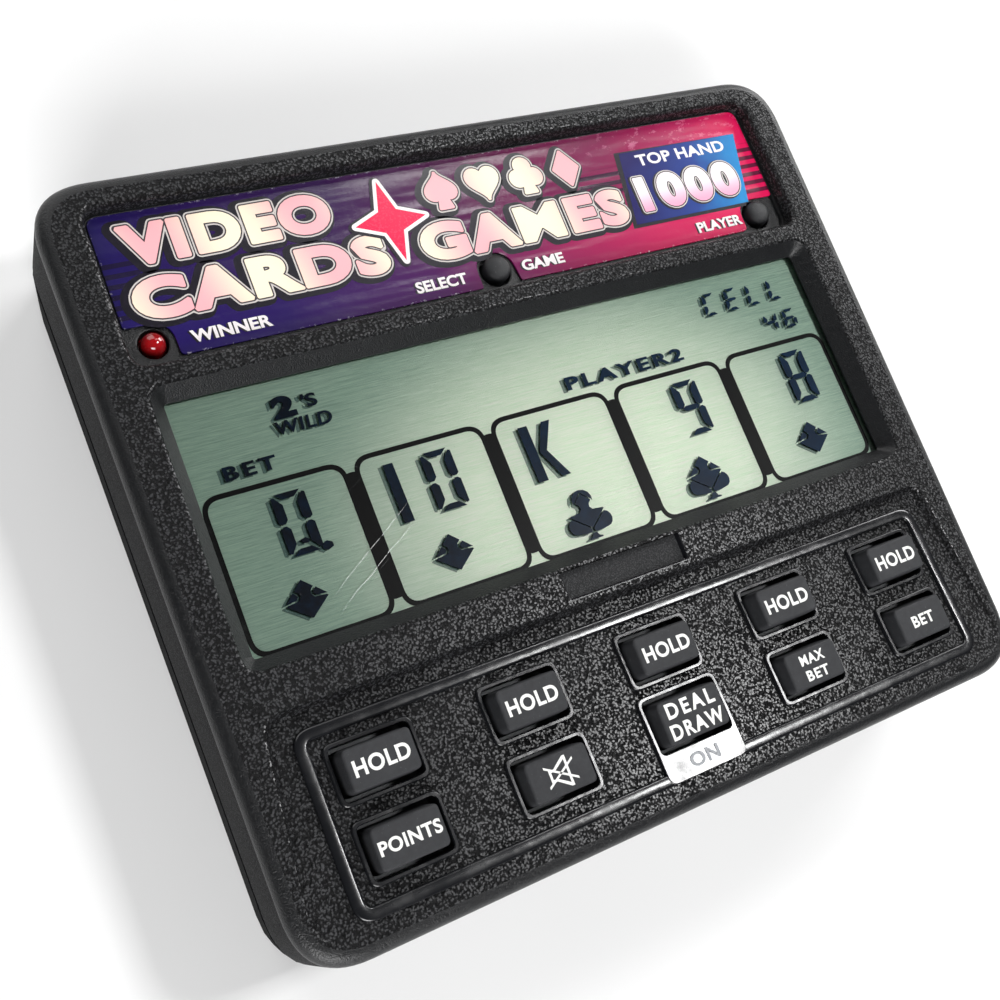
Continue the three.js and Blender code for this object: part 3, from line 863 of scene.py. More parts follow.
@dataclass(frozen=True)
class SeeThroughShade(Finish):
    """The soft shadow that a switched segment casts on the reflector."""

    colour: Colour = shade(46, 96, 98)
    cover: float = 0.5

    def shader(self, tree: Tree) -> Value:
        """Half clear, streaked like the foil under it.

        Args:
            tree: the node tree of the material.

        Returns:
            The shader.
        """
        streaks = tree.noise(1.0, 4, 0.75, tree.stretched(0.05, 3.4))
        cover = streaks * 0.3 + (self.cover - 0.15)
        return tree.plastic({"Base Color": self.colour, "Roughness": 0.6, "Alpha": cover})


@dataclass(frozen=True)
class ClearWindow(Finish):
    """Clear acrylic with hairline scratches that catch the light."""

    def shader(self, tree: Tree) -> Value:
        """A mirror reflection by angle over a clear pane, with pale scratches.

        Args:
            tree: the node tree of the material.

        Returns:
            The shader.
        """
        wander = (tree.noise(0.12, 2) - 0.5) * 1.6
        across = tree.y - tree.x * 0.62 + wander
        marks: Value | float = 0.0
        hairlines = ((13.4, 0.07, 0.5), (11.2, 0.08, 0.5), (10.7, 0.04, 0.25), (20.5, 0.05, 0.15))
        for offset, width, strength in hairlines:
            line = 1 - (across - offset).size().rise(0.0, width)
            marks = line * strength + marks
        patchy = tree.x.rise(-36, -33) * (1 - tree.x.rise(-25, -21))
        patchy = patchy * tree.noise(1.2, 2).rise(0.3, 0.5)
        specks = 1 - tree.cells(0.8).rise(0.03, 0.07)
        specks = specks * tree.noise(0.2, 2).rise(0.5, 0.6) * 0.25
        edge = tree.x.size().rise(44.4, 45.9) * tree.noise(1.4, 3, 0.7).rise(0.45, 0.7)
        marks = marks * patchy + specks + edge * 0.12
        facing = tree.node("ShaderNodeFresnel", {}, {"IOR": 1.45})
        clear = tree.node("ShaderNodeBsdfTransparent", {}, {})
        white = (0.95, 0.97, 0.96, 1.0)
        gloss = tree.plastic(
            {"Base Color": white, "Metallic": 1.0, "Roughness": 0.06 + marks * 0.8}
        )
        share = (facing + marks).least(1.0)
        return tree.node("ShaderNodeMixShader", {}, {0: share, 1: clear, 2: gloss})


@dataclass(frozen=True)
class LampEpoxy(Finish):
    """Deep red clear epoxy of a small lamp."""

    def shader(self, tree: Tree) -> Value:
        """Painted shade darker towards the rim and a painted glow brighter low in the dome where
        light gathers.

        Args:
            tree: the node tree of the material.

        Returns:
            The shader.
        """
        painted_rim_shade = tree.node("ShaderNodeLayerWeight", {}, {"Blend": 0.35}, "Facing")
        swirl = tree.noise(0.9, 2)
        # painted shade and glow: darker where the dome turns away, brighter where it faces the
        # viewer
        colour = tree.mix((1 - painted_rim_shade) * 0.7 + swirl * 0.2, shade(66, 4, 8), shade(176, 16, 22))
        return tree.plastic(
            {
                "Base Color": colour,
                "Roughness": 0.07,
                "Subsurface Weight": 0.25,
                "Subsurface Radius": (0.6, 0.05, 0.05),
                "Subsurface Scale": MM,
                "Coat Weight": 0.6,
                "Coat Roughness": 0.03,
            }
        )


@dataclass(frozen=True)
class Metal(Finish):
    """Plated or bare metal with drawn lines and slight tarnish."""

    colour: Colour = shade(196, 198, 200)
    tarnish: Colour = shade(120, 118, 112)
    roughness: float = 0.28

    def shader(self, tree: Tree) -> Value:
        """Tarnish patches and fine drawn lines.

        Args:
            tree: the node tree of the material.

        Returns:
            The shader.
        """
        patch = tree.noise(0.7, 3, 0.65).rise(0.45, 0.75)
        lines = tree.noise(3.0, 2, 0.6, tree.stretched(0.3, 5.0, 5.0))
        return tree.plastic(
            {
                "Base Color": tree.mix(patch * 0.5, self.colour, self.tarnish),
                "Metallic": 1.0,
                "Roughness": self.roughness + patch * 0.15 + lines * 0.08,
                "Normal": tree.bump(lines, 0.01),
            }
        )


@dataclass(frozen=True)
class PlainPart(Finish):
    """Small moulded, dipped or woven part of one colour, with mottling and a fine skin."""

    colour: Colour = shade(200, 200, 195)
    roughness: float = 0.45
    skin: float = 3.0
    depth: float = 0.02

    def shader(self, tree: Tree) -> Value:
        """Mottled colour with a fine skin.

        Args:
            tree: the node tree of the material.

        Returns:
            The shader.
        """
        mottle = tree.noise(0.9, 3, 0.6).rise(0.3, 0.8)
        fine = tree.noise(self.skin, 3, 0.6)
        dark = tuple(c * 0.72 for c in self.colour[:3]) + OPAQUE
        return tree.plastic(
            {
                "Base Color": tree.mix(mottle, self.colour, dark),
                "Roughness": self.roughness + fine * 0.1,
                "Normal": tree.bump(fine, self.depth),
            }
        )


@dataclass(frozen=True)
class CircuitBoard(Finish):
    """Paper phenolic board with copper tracks under green-brown lacquer."""

    def shader(self, tree: Tree) -> Value:
        """Tracks from a blocky cell pattern, over fibrous board.

        Args:
            tree: the node tree of the material.

        Returns:
            The shader.
        """
        grid = tree.node(
            "ShaderNodeTexVoronoi",
            {"feature": "F1", "distance": "CHEBYCHEV"},
            {"Vector": tree.place, "Scale": 0.45},
        )
        tracks = (grid * 6).zigzag(1.0).rise(0.55, 0.7)
        fibre = tree.noise(2.0, 4, 0.7, tree.stretched(1.0, 0.2))
        board = tree.mix(fibre, shade(150, 112, 60), shade(186, 148, 88))
        return tree.plastic(
            {
                "Base Color": tree.mix(tracks * 0.8, board, shade(96, 128, 64)),
                "Roughness": 0.5 - tracks * 0.2,
                "Normal": tree.bump(tracks + fibre * 0.2, 0.035),
            }
        )


@dataclass(frozen=True)
class CellJacket(Finish):
    """Plastic film jacket of a dry cell: a dark body with a brass-coloured band at its nub end."""

    nub_way: float = 1.0

    def shader(self, tree: Tree) -> Value:
        """Two printed zones and faint lengthwise wrinkles.

        Args:
            tree: the node tree of the material.

        Returns:
            The shader.
        """
        band = (tree.x * self.nub_way).rise(8.0, 8.1)
        wrinkles = tree.noise(0.8, 3, 0.6, tree.stretched(0.15, 1.4, 1.4))
        ends = tree.x.size().rise(21.3, 21.4)
        colour = tree.mix(band, shade(30, 34, 40), shade(176, 128, 62))
        return tree.plastic(
            {
                "Base Color": tree.mix(ends, colour, shade(200, 200, 200)),
                "Metallic": (band * 0.6).most(ends),
                "Roughness": 0.25 + wrinkles * 0.15,
                "Normal": tree.bump(wrinkles, 0.05),
            }
        )


# The second colour of each grained plastic is a painted highlight: the crests are tinted lighter as
# glints.
GRAINED = GrainedPlastic("grained case plastic")
FINE = GrainedPlastic(
    "fine case plastic",
    shade(12, 13, 15),
    shade(26, 27, 30),
    grain=5.0,
    depth=0.05,
    roughness=0.3,
    valley=0.06,
    shine=0.45,
    gloss=0.0,
)
REAR = GrainedPlastic("rear case plastic", smooth_above=0.9, roughness=0.6, shine=0.1, gloss=0.3)
SIDE = GrainedPlastic(
    "side case plastic",
    shade(9, 9, 11),
    shade(30, 31, 33),
    grain=5.0,
    depth=0.05,
    roughness=0.5,
    shine=0.12,
    gloss=0.0,
)
POLISHED = PolishedPlastic("polished case plastic")
MATT = GrainedPlastic(
    "matt case plastic",
    shade(18, 19, 21),
    shade(46, 47, 50),
    grain=5.0,
    depth=0.09,
    roughness=0.5,
    shine=0.45,
    gloss=0.0,
)
RUBBER = Rubber("key rubber", shade(46, 47, 50))
BUTTON_RUBBER = Rubber("round button rubber", shade(30, 31, 34), 0.5)
WHITE_INK = Ink("white legend ink")
FAINT_INK = Ink("worn grey legend ink", shade(92, 97, 104), shade(40, 42, 46), 0.3)
LABEL_WHITE = Ink("label white ink", shade(246, 240, 240), shade(220, 206, 214), 0.28, 0.5)
LABEL_DARK = Ink("label dark ink", shade(16, 12, 24), shade(40, 18, 60), 0.28, 0.5)
LABEL_LINE = Ink("label line ink", shade(62, 54, 58), shade(90, 80, 84), 0.28, 0.5)
LABEL_SILVER = Ink("label outline ink", shade(206, 200, 196), shade(236, 228, 220), 0.28, 0.5)
LABEL_RED = Ink("label red ink", shade(238, 12, 74), shade(226, 40, 96), 0.26, 0.5)
LETTERS = LetterInk("label letter ink")
NUMBER = NumberInk("label number ink")
FILM = LabelFilm("label film")
PANE = PaneInk("label blue pane")
REFLECTOR = BrushedReflector("display reflector")
SEGMENTS = SegmentInk("display segments")
GRID_INK = Ink("display grid ink", shade(6, 6, 7), shade(14, 14, 16), 0.4, 0.0, 0.12)
SEGMENT_SHADE = SeeThroughShade("display segment shade")
WINDOW = ClearWindow("display window acrylic")
LAMP = LampEpoxy("lamp epoxy")
BLACKENED = Metal("blackened screw steel", shade(120, 120, 124), shade(60, 58, 56), 0.34)
RED_WIRE = PlainPart("red wire insulation", shade(186, 30, 26), 0.4)
BLACK_WIRE = PlainPart("black wire insulation", shade(22, 22, 24), 0.4)


# ------------------------------------------------------------------ mesh making


class Surface:
    """Gathers the faces of one piece, in millimetres, each with the number of its finish."""

    def __init__(self) -> None:
        """Starts with no faces."""
        self.points: list[tuple[float, float, float]] = []
        self.faces: list[Sequence[int]] = []
        self.marks: list[int] = []
        self.rounded: list[bool] = []

    def _face(self, corners: Sequence[int], mark: int, rounded: bool) -> None:
        """Adds one face; a rounded one is shaded smoothly with its neighbours.

        Args:
            corners: point numbers of the face.
            mark: number of the finish.
            rounded: whether it is shaded smoothly.
        """
        self.faces.append(corners)
        self.marks.append(mark)
        self.rounded.append(rounded)

    def ring(self, loop: Iterable[Point], height: Height) -> list[int]:
        """Adds an outline at a height.

        Args:
            loop: the outline.
            height: one height, or a height at each place.

        Returns:
            The numbers of its points.
        """
        start = len(self.points)
        for x, y in loop:
            z = height(x, y) if callable(height) else height
            self.points.append((x, y, z))
        return list(range(start, len(self.points)))

    def bands(self, rings: Sequence[Sequence[int]], mark: int = 0, closed: bool = True) -> None:
        """Joins each ring to the next. The visible side is on the left going along and inwards.

        Args:
            rings: outlines with as many points each.
            mark: number of the finish.
            closed: whether the ends of each ring are joined.
        """
        for a, b in zip(rings, rings[1:]):
            for i in range(len(a) if closed else len(a) - 1):
                j = (i + 1) % len(a)
                self._face((a[i], a[j], b[j], b[i]), mark, True)

    def cap(
        self,
        outer: Sequence[int],
        holes: Sequence[Sequence[int]] = (),
        mark: int = 0,
        up: bool = True,
    ) -> None:
        """Fills an outline, leaving holes.

        Args:
            outer: point numbers of the outline.
            holes: point numbers of each hole.
            mark: number of the finish.
            up: whether the face looks up.
        """
        loops = [list(outer), *(list(hole) for hole in holes)]
        order = [i for loop in loops for i in loop]
        flat = [[Vector((*self.points[i][:2], 0)) for i in loop] for loop in loops]
        for a, b, c in tessellate_polygon(flat):
            p, q, r = (Vector(self.points[order[i]][:2]) for i in (a, b, c))
            turn = (q - p).cross(r - p)
            if abs(turn) > 1e-9:
                corners = (order[a], order[b], order[c])
                self._face(corners if (turn > 0) == up else corners[::-1], mark, False)

    def print_shape(self, outline: Sequence[Point], height: float, mark: int = 0) -> None:
        """Adds one flat printed shape."""
        self.cap(self.ring(outline, height), (), mark)

    def print_loops(
        self, loops: Sequence[Sequence[Point]], height: float, mark: int, shift: Point
    ) -> None:
        """Adds flat print bounded by loops, holes among them.

        Args:
            loops: outlines counter-clockwise and holes clockwise.
            height: height of the print.
            mark: number of its finish.
            shift: how far to move it sideways.
        """
        islands = sorted((loop for loop in loops if area_of(loop) > 0), key=area_of)
        holes: dict[int, list[list[int]]] = {i: [] for i in range(len(islands))}
        for loop in loops:
            if area_of(loop) < 0:
                homes = (i for i, island in enumerate(islands) if inside(loop[0], island))
                home = next(homes, None)
                if home is not None:
                    holes[home].append(self.ring(moved(loop, *shift), height))
        for i, island in enumerate(islands):
            self.cap(self.ring(moved(island, *shift), height), holes[i], mark)

    def piece(
        self,
        name: str,
        slot: str,
        finishes: Sequence[Finish],
        body: str = CASE,
        stands_for: Sequence[str] = (),
        sharp: float = 32.0,
    ) -> bpy.types.Object:
        """Makes the piece and hangs it on a body.

        Args:
            name: name of the new object.
            slot: not used.
            finishes: one for each number used on the faces.
            body: the body that it moves with.
            stands_for: CAD nodes that it replaces.
            sharp: edges that bend by more degrees than this are kept crisp.

        Returns:
            The new object.
        """
        mesh = bpy.data.meshes.new(name)
        mesh.from_pydata([tuple(c * MM for c in p) for p in self.points], [], self.faces)
        for finish in finishes:
            mesh.materials.append(finish.material())
        mesh.polygons.foreach_set("material_index", self.marks)
        mesh.set_sharp_from_angle(angle=math.radians(sharp))
        mesh.polygons.foreach_set("use_smooth", self.rounded)
        mesh.validate()
        made = bpy.data.objects.new(name, mesh)
        bpy.context.scene.collection.objects.link(made)
        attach(made, body)
        if stands_for:
            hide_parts(*stands_for)
        LOG.info("made %s with %d faces on %s", name, len(self.faces), body)
        return made


@dataclass(frozen=True)
class Words:
    """A printed word, fitted into a rectangle about a centre."""

    text: str
    x: float
    y: float
    width: float
    height: float
    weight: float = 0.0
    spacing: float = 1.0
    slant: float = 0.0

    def faces(self) -> list[list[Point]]:
        """The flat faces of the word, in place and counter-clockwise.

        Returns:
            The points of each face.
        """
        curve = bpy.data.curves.new("words", "FONT")
        curve.body = self.text
        curve.offset = self.weight
        curve.space_character = self.spacing
        curve.resolution_u = 6
        curve.shear = self.slant
        holder = bpy.data.objects.new("words", curve)
        bpy.context.scene.collection.objects.link(holder)
        graph = bpy.context.evaluated_depsgraph_get()
        mesh = bpy.data.meshes.new_from_object(holder.evaluated_get(graph))
        points = [v.co.xy for v in mesh.vertices]
        low = Vector((min(p.x for p in points), min(p.y for p in points)))
        high = Vector((max(p.x for p in points), max(p.y for p in points)))
        wide, tall = self.width / (high.x - low.x), self.height / (high.y - low.y)
        x, y = (low.x + high.x) / 2, (low.y + high.y) / 2
        placed = [(self.x + (p.x - x) * wide, self.y + (p.y - y) * tall) for p in points]
        faces = [[placed[i] for i in polygon.vertices] for polygon in mesh.polygons]
        bpy.data.objects.remove(holder)
        bpy.data.curves.remove(curve)
        bpy.data.meshes.remove(mesh)
        return [face if turn_of(*face[:3]) > 0 else face[::-1] for face in faces]

    def print_on(
        self, surface: Surface, height: float, mark: int = 0, shift: Point = HERE
    ) -> None:
        """Prints the word as flat shapes.

        Args:
            surface: what to add the faces to.
            height: height of the print.
            mark: number of its finish.
            shift: how far to move it sideways.
        """
        surface.print_loops(spread(self.faces(), 0.0), height, mark, shift)


@dataclass(frozen=True)
class Outlined:
    """Layers of a sign: how far each one reaches, its rise, its finish and its shift."""

    layers: tuple[tuple[float, float, int, Point], ...]

    def print_on(
        self, surface: Surface, height: float, faces: Sequence[Sequence[Point]]
    ) -> None:
        """Prints the layers, the widest one lowest."""
        for reach, rise, mark, shift in self.layers:
            surface.print_loops(spread(faces, reach), height + rise, mark, shift)


# ------------------------------------------------------------------ the front case


@dataclass
class KeypadPanel:
    """The sunken panel, which is deepest at its top and meets the face at its bottom."""

    face: float = 20.0
    top: float = -18.9
    bottom: float = -43.5
    half_top: float = 47.6
    half_bottom: float = 50.4
    depth: float = 1.2
    slope: float = 2.79
    steps: int = 8

    def height(self, x: float, y: float) -> float:
        """Height of the panel above the back."""
        return self.face - self.depth + (self.top - y) * math.tan(math.radians(self.slope))

    def drop(self, y: float) -> float:
        """How far the panel lies below the face, never quite nothing."""
        return max(self.face - self.height(0, y), 0.03)

    def raised(self, rise: float) -> Height:
        """A height above the sloping panel.

        Args:
            rise: height above the panel.

        Returns:
            The height at each place.
        """

        def height(x: float, y: float) -> float:
            """Height above the back at one place."""
            return self.height(x, y) + rise

        return height

    def fallen(self, share: float) -> Height:
        """A height part of the way from the face down to the panel.

        Args:
            share: 0 at the face, 1 on the panel.

        Returns:
            The height at each place.
        """

        def height(_: float, y: float) -> float:
            """Height above the back at one place."""
            return self.face - self.drop(y) * share

        return height

    def loop(self, grow: float) -> list[Point]:
        """The outline of the step.

        Args:
            grow: how far to move the outline outwards.

        Returns:
            The points of the outline.
        """
        return rounded_polygon(
            [
                (-self.half_bottom - grow, self.bottom - grow, 5.2 + grow),
                (self.half_bottom + grow, self.bottom - grow, 5.2 + grow),
                (self.half_top + grow, self.top + grow, 2.2 + grow),
                (-self.half_top - grow, self.top + grow, 2.2 + grow),
            ],
            self.steps,
        )


@dataclass
class KeyPlace:
    """Where one key stands, read from its CAD node, and what is printed on it."""

    name: str
    words: tuple[Words, ...]
    overhang: float = 0.9
    width: float = field(init=False)
    depth: float = field(init=False)
    x: float = field(init=False)
    y: float = field(init=False)
    top: float = field(init=False)
    foot: float = field(init=False)

    def __post_init__(self) -> None:
        """Reads the place from the frame."""
        low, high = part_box(self.name)
        self.x, self.y = middle_of(self.name)
        self.width = (high.x - low.x) / MM - 2 * self.overhang
        self.depth = (high.y - low.y) / MM - 2 * self.overhang
        self.top, self.foot = high.z / MM, low.z / MM


@dataclass
class FrontShell:
    """The front case with its pocket, display opening, badge recess and keypad panel."""

    keys: list[KeyPlace]
    panel: KeypadPanel
    half_height: float = 45.75
    half_top: float = 53.5
    half_bottom: float = 52.2
    corner: float = 5.5
    face: float = 20.0
    seam: float = 9.15
    edge: float = 1.6
    pocket: Box = Box(-47.9, 22.2, 47.9, 42.1, 2.2)
    pocket_floor: float = 17.65
    window: Box = Box(-45.9, -12.4, 45.9, 18.0, 0.5)
    window_lip: float = 17.9
    bevel_run: float = 1.6
    badge: Box = Box(-8.65, -18.0, 8.65, -14.2, 0.35)
    badge_depth: float = 0.5
    border: Box = Box(-45.4, -42.3, 45.4, -21.2, 2.4)
    border_width: float = 1.45
    rim_wall: float = 0.55
    rim_size: Point = (10.64, 7.14)
    deal_rim: Box = Box(-5.75, -42.3, 5.75, -31.6, 1.2)
    deal_well_bottom: float = -38.75
    rim_rise: float = 0.5
    well_depth: float = 2.4
    holes: tuple[tuple[str, float], ...] = (
        ("winner_lamp", 1.75),
        ("select_game_button", 2.1),
        ("player_button", 2.1),
    )

    def case_loop(self, inset: float) -> list[Point]:
        """The outline of the case, moved inwards.

        Args:
            inset: how far to move the outline inwards.

        Returns:
            The points of the outline.
        """
        y = self.half_height - inset
        r = 1.35 * (self.corner - 0.6 * inset)
        bottom, top = self.half_bottom - inset, self.half_top - inset
        return rounded_polygon([(-bottom, -y, r), (bottom, -y, r), (top, y, r), (-top, y, r)], 14)

    def build(self) -> None:
        """Makes the shell and everything that is moulded on it."""
        self._shell()
        self._border()
        self._rims()

    def _outside(self, s: Surface) -> list[int]:
        """The side wall and its rounded top edge.

        Args:
            s: what the faces are added to.

        Returns:
            The ring where the face starts.
        """
        seam, edge = self.seam, self.edge
        profile = [(1.3, seam + 1.0), (1.2, seam), (0.2, seam), (0.05, seam + 0.15)]
        profile += [(0.0, seam + 0.4), (0.0, self.face - edge)]
        for i in range(1, 9):
            a = i / 8 * math.pi / 2
            profile.append((edge * (1 - math.cos(a)), self.face - edge * (1 - math.sin(a))))
        rings = [s.ring(self.case_loop(inset), z) for inset, z in profile]
        s.bands(rings[:6], 4)
        s.bands(rings[5:], 1)
        return rings[-1]

    def _pocket(self, s: Surface) -> list[int]:
        """The label pocket.

        Args:
            s: what the faces are added to.

        Returns:
            The ring at its edge on the face.
        """
        soft = 0.75
        profile = []
        for i in range(7):
            a = i / 6 * math.pi / 2
            profile.append((soft * (1 - math.sin(a)), self.face - soft * (1 - math.cos(a))))
        floor = self.pocket_floor
        profile += [(0.0, floor + 0.35), (-0.1, floor + 0.1), (-0.35, floor)]
        rings = [s.ring(self.pocket.loop(grow, 8), z) for grow, z in profile]
        s.bands(rings[:-2])
        s.bands(rings[-3:], 1)
        edges = []
        for node, radius in self.holes:
            x, y = middle_of(node)
            well = [(0.2, 0.0), (0.05, -0.06), (0.0, -0.2), (0.0, -1.6)]
            turns = [s.ring(circle(x, y, radius + g), floor + z) for g, z in well]
            s.bands(turns, 1)
            edges.append(turns[0])
        s.cap(rings[-1], edges, 1)
        return rings[0]

    def _opening(self, s: Surface) -> list[int]:
        """The bevelled display opening.

        Args:
            s: what the faces are added to.

        Returns:
            The ring at its edge on the face.
        """
        run, lip = self.bevel_run, self.window_lip
        profile = [(run + 0.45, self.face), (run + 0.2, self.face - 0.06), (run, self.face - 0.25)]
        profile += [(0.12, lip + 0.12), (0.0, lip), (0.0, lip - 0.28), (1.5, lip - 0.3)]
        rings = [s.ring(self.window.loop(grow, 4), z) for grow, z in profile]
        s.bands(rings[:3])
        s.bands(rings[2:], 1)
        return rings[0]

    def _badge(self, s: Surface) -> list[int]:
        """The blank recess under the display.

        Args:
            s: what the faces are added to.

        Returns:
            The ring at its edge on the face.
        """
        face, low = self.face, self.face - self.badge_depth
        profile = [(0.15, face), (0.04, face - 0.04), (0.0, face - 0.15)]
        profile += [(-0.06, low + 0.08), (-0.16, low)]
        rings = [s.ring(self.badge.loop(grow, 4), z) for grow, z in profile]
        s.bands(rings, 2)
        s.cap(rings[-1], (), 3)
        return rings[0]

    def _step(self, s: Surface) -> list[int]:
        """The step down to the keypad panel and the panel itself.

        Args:
            s: what the faces are added to.

        Returns:
            The ring at its edge on the face.
        """
        panel = self.panel
        outer, inner = panel.loop(0.0), panel.loop(-1.0)
        shape = [(-0.3, 0.0), (-0.12, 0.03), (0.0, 0.14), (0.16, 0.42), (0.5, 0.93), (0.66, 1.0)]
        rings = []
        steepness = [max(panel.drop(p[1]) / panel.depth, 0.25) for p in outer]
        for inset, fall in shape:
            loop = between(outer, inner, [inset * share for share in steepness])
            rings.append(s.ring(loop, panel.fallen(fall)))
        s.bands(rings)
        wells = []
        for key in self.keys:
            box = self._rim_box(key)
            wells.append(s.ring(box.loop(-0.3, 4), panel.height))
        s.cap(rings[-1], wells)
        return rings[0]

    def _shell(self) -> None:
        """The shell as one piece."""
        s = Surface()
        edge = self._outside(s)
        holes = [self._pocket(s), self._opening(s), self._badge(s), self._step(s)]
        s.cap(edge, holes)
        finishes = (GRAINED, FINE, POLISHED, MATT, SIDE)
        s.piece("front_shell", "case_plastic", finishes, stands_for=["front_case"])

    def _rim_box(self, key: KeyPlace) -> Box:
        """Outline of the rim round a key.

        Args:
            key: the key in the rim.

        Returns:
            The outline.
        """
        if key.name == "deal_key":
            return self.deal_rim
        return Box.about(key.x, key.y, *self.rim_size, 1.2)

    def _border(self) -> None:
        """The smooth raised border round the keypad."""
        s = Surface()
        width = self.border_width
        shape = [(0.0, -0.3), (0.0, 0.16), (0.05, 0.28), (0.16, 0.36), (0.32, 0.4)]
        shape += [(width - d, z) for d, z in shape[::-1]]
        rings = []
        for inset, rise in shape:
            rings.append(s.ring(self.border.loop(-inset, 8), self.panel.raised(rise)))
        s.bands(rings)
        s.piece("keypad_border", "case_plastic", (POLISHED,), sharp=50)

    def _rims(self) -> None:
        """The smooth rims, each with the well behind it."""
        for key in self.keys:
            s = Surface()
            box = self._rim_box(key)
            deal = box is self.deal_rim
            wall = self.rim_wall
            hole = Box(box.left + wall, box.bottom + wall, box.right - wall, box.top - wall, 0.75)
            if deal:
                hole = Box(hole.left, self.deal_well_bottom, hole.right, hole.top, 0.75)
            outside = [(0.0, -0.3), (0.0, 0.3), (-0.05, 0.42), (-0.16, self.rim_rise)]
            inside = [(0.1, self.rim_rise), (0.02, 0.42), (0.0, 0.3), (-0.03, -self.well_depth)]
            outer = [s.ring(box.loop(grow, 5), self.panel.raised(rise)) for grow, rise in outside]
            inner = [s.ring(hole.loop(grow, 5), self.panel.raised(rise)) for grow, rise in inside]
            s.bands(outer)
            s.bands(inner[:3])
            s.bands(inner[2:], 1)
            s.cap(outer[-1], [inner[0]])
            if deal:
                Words("ON", 0.0, -40.5, 4.2, 1.7, 0.03, 1.1).print_on(
                    s, self.panel.height(0, -40.5) + self.rim_rise + 0.05, 2
                )
            s.piece(f"{key.name}_rim", "case_plastic", (POLISHED, FINE, FAINT_INK), sharp=50)


# ------------------------------------------------------------------ the keys


@dataclass
class Key:
    """A rubber key with rounded edges and a printed legend."""

    place: KeyPlace
    draft: float = 0.26
    soft: float = 0.3
    ink_room: float = 0.024

    def build(self) -> None:
        """Makes the key and its legend."""
        p = self.place
        box = Box.about(p.x, p.y, p.width, p.depth, 0.95)
        profile = [(0.0, p.foot + 0.9), (0.0, p.foot + 1.6)]
        top = p.top - self.ink_room
        profile += [(-self.draft, top - self.soft)]
        for i in range(1, 6):
            a = i / 5 * math.pi / 2
            profile.append(
                (-self.draft - self.soft * (1 - math.cos(a)), top - self.soft * (1 - math.sin(a)))
            )
        s = Surface()
        rings = [s.ring(box.loop(grow, 6), z) for grow, z in profile]
        foot = s.ring(box.loop(-0.3, 6), p.foot + 0.9)
        s.bands([foot, *rings])
        s.cap(rings[-1])
        s.cap(foot, up=False)
        s.piece(f"{p.name}_cap", "key_rubber", (RUBBER,), p.name, [p.name], 40)
        legend = Surface()
        for word in p.words:
            word.print_on(legend, p.top - 0.012)
        if p.name == "mute_key":
            self._speaker(legend, p.top - 0.012)
        legend.piece(f"{p.name}_legend", "key_rubber", (WHITE_INK,), p.name)

    def _speaker(self, s: Surface, z: float) -> None:
        """A loudspeaker sign with a cross over it.

        Args:
            s: what the faces are added to.
            z: height of the print.
        """
        x, y = self.place.x, self.place.y
        horn = [(-1.45, -0.7), (-0.75, -0.7), (0.75, -1.75), (1.1, -1.75)]
        horn += [(1.1, 1.75), (0.75, 1.75), (-0.75, 0.7), (-1.45, 0.7)]
        thin = 0.28
        inner = [(-1.15, -0.42), (-0.65, -0.42), (0.8, -1.35)]
        inner += [(0.8, 1.35), (-0.65, 0.42), (-1.15, 0.42)]
        s.cap(s.ring(moved(horn, x, y), z), [s.ring(moved(inner, x, y), z)])
        for way in (-1, 1):
            bar = [(-1.9, -1.15 * way - thin / 2), (1.9, 1.15 * way - thin / 2)]
            bar += [(1.9, 1.15 * way + thin / 2), (-1.9, -1.15 * way + thin / 2)]
            s.print_shape(moved(bar, x, y), z + 0.004)


def key_places() -> list[KeyPlace]:
    """Every key with its legend, in the order of the rows.

    Returns:
        The keys' places.
    """
    places = []

    def legend(node: str, *lines: tuple[str, float, float, float, float]) -> None:
        """Adds a key with lines of text, height and spacing about its middle.

        Args:
            node: the key's CAD node.
            lines: text, place, width, height and spacing of each line.
        """
        x, y = middle_of(node)
        words = [Words(t, x, y + dy, w, h, 0.03, gap) for t, dy, w, h, gap in lines]
        places.append(KeyPlace(node, tuple(words)))

    for i in range(1, 6):
        legend(f"hold_key_{i}", ("HOLD", 0.0, 6.6, 1.85, 1.08))
    legend("points_key", ("POINTS", 0.0, 7.3, 1.55, 1.08))
    legend("mute_key")
    legend("deal_key", ("DEAL", 1.25, 6.9, 1.85, 1.3), ("DRAW", -1.25, 7.6, 1.85, 1.2))
    legend("max_bet_key", ("MAX", 1.0, 3.8, 1.3, 1.15), ("BET", -1.0, 3.5, 1.3, 1.15))
    legend("bet_key", ("BET", 0.0, 3.7, 1.5, 1.1))
    return places


# ------------------------------------------------------------------ label, lamp, buttons


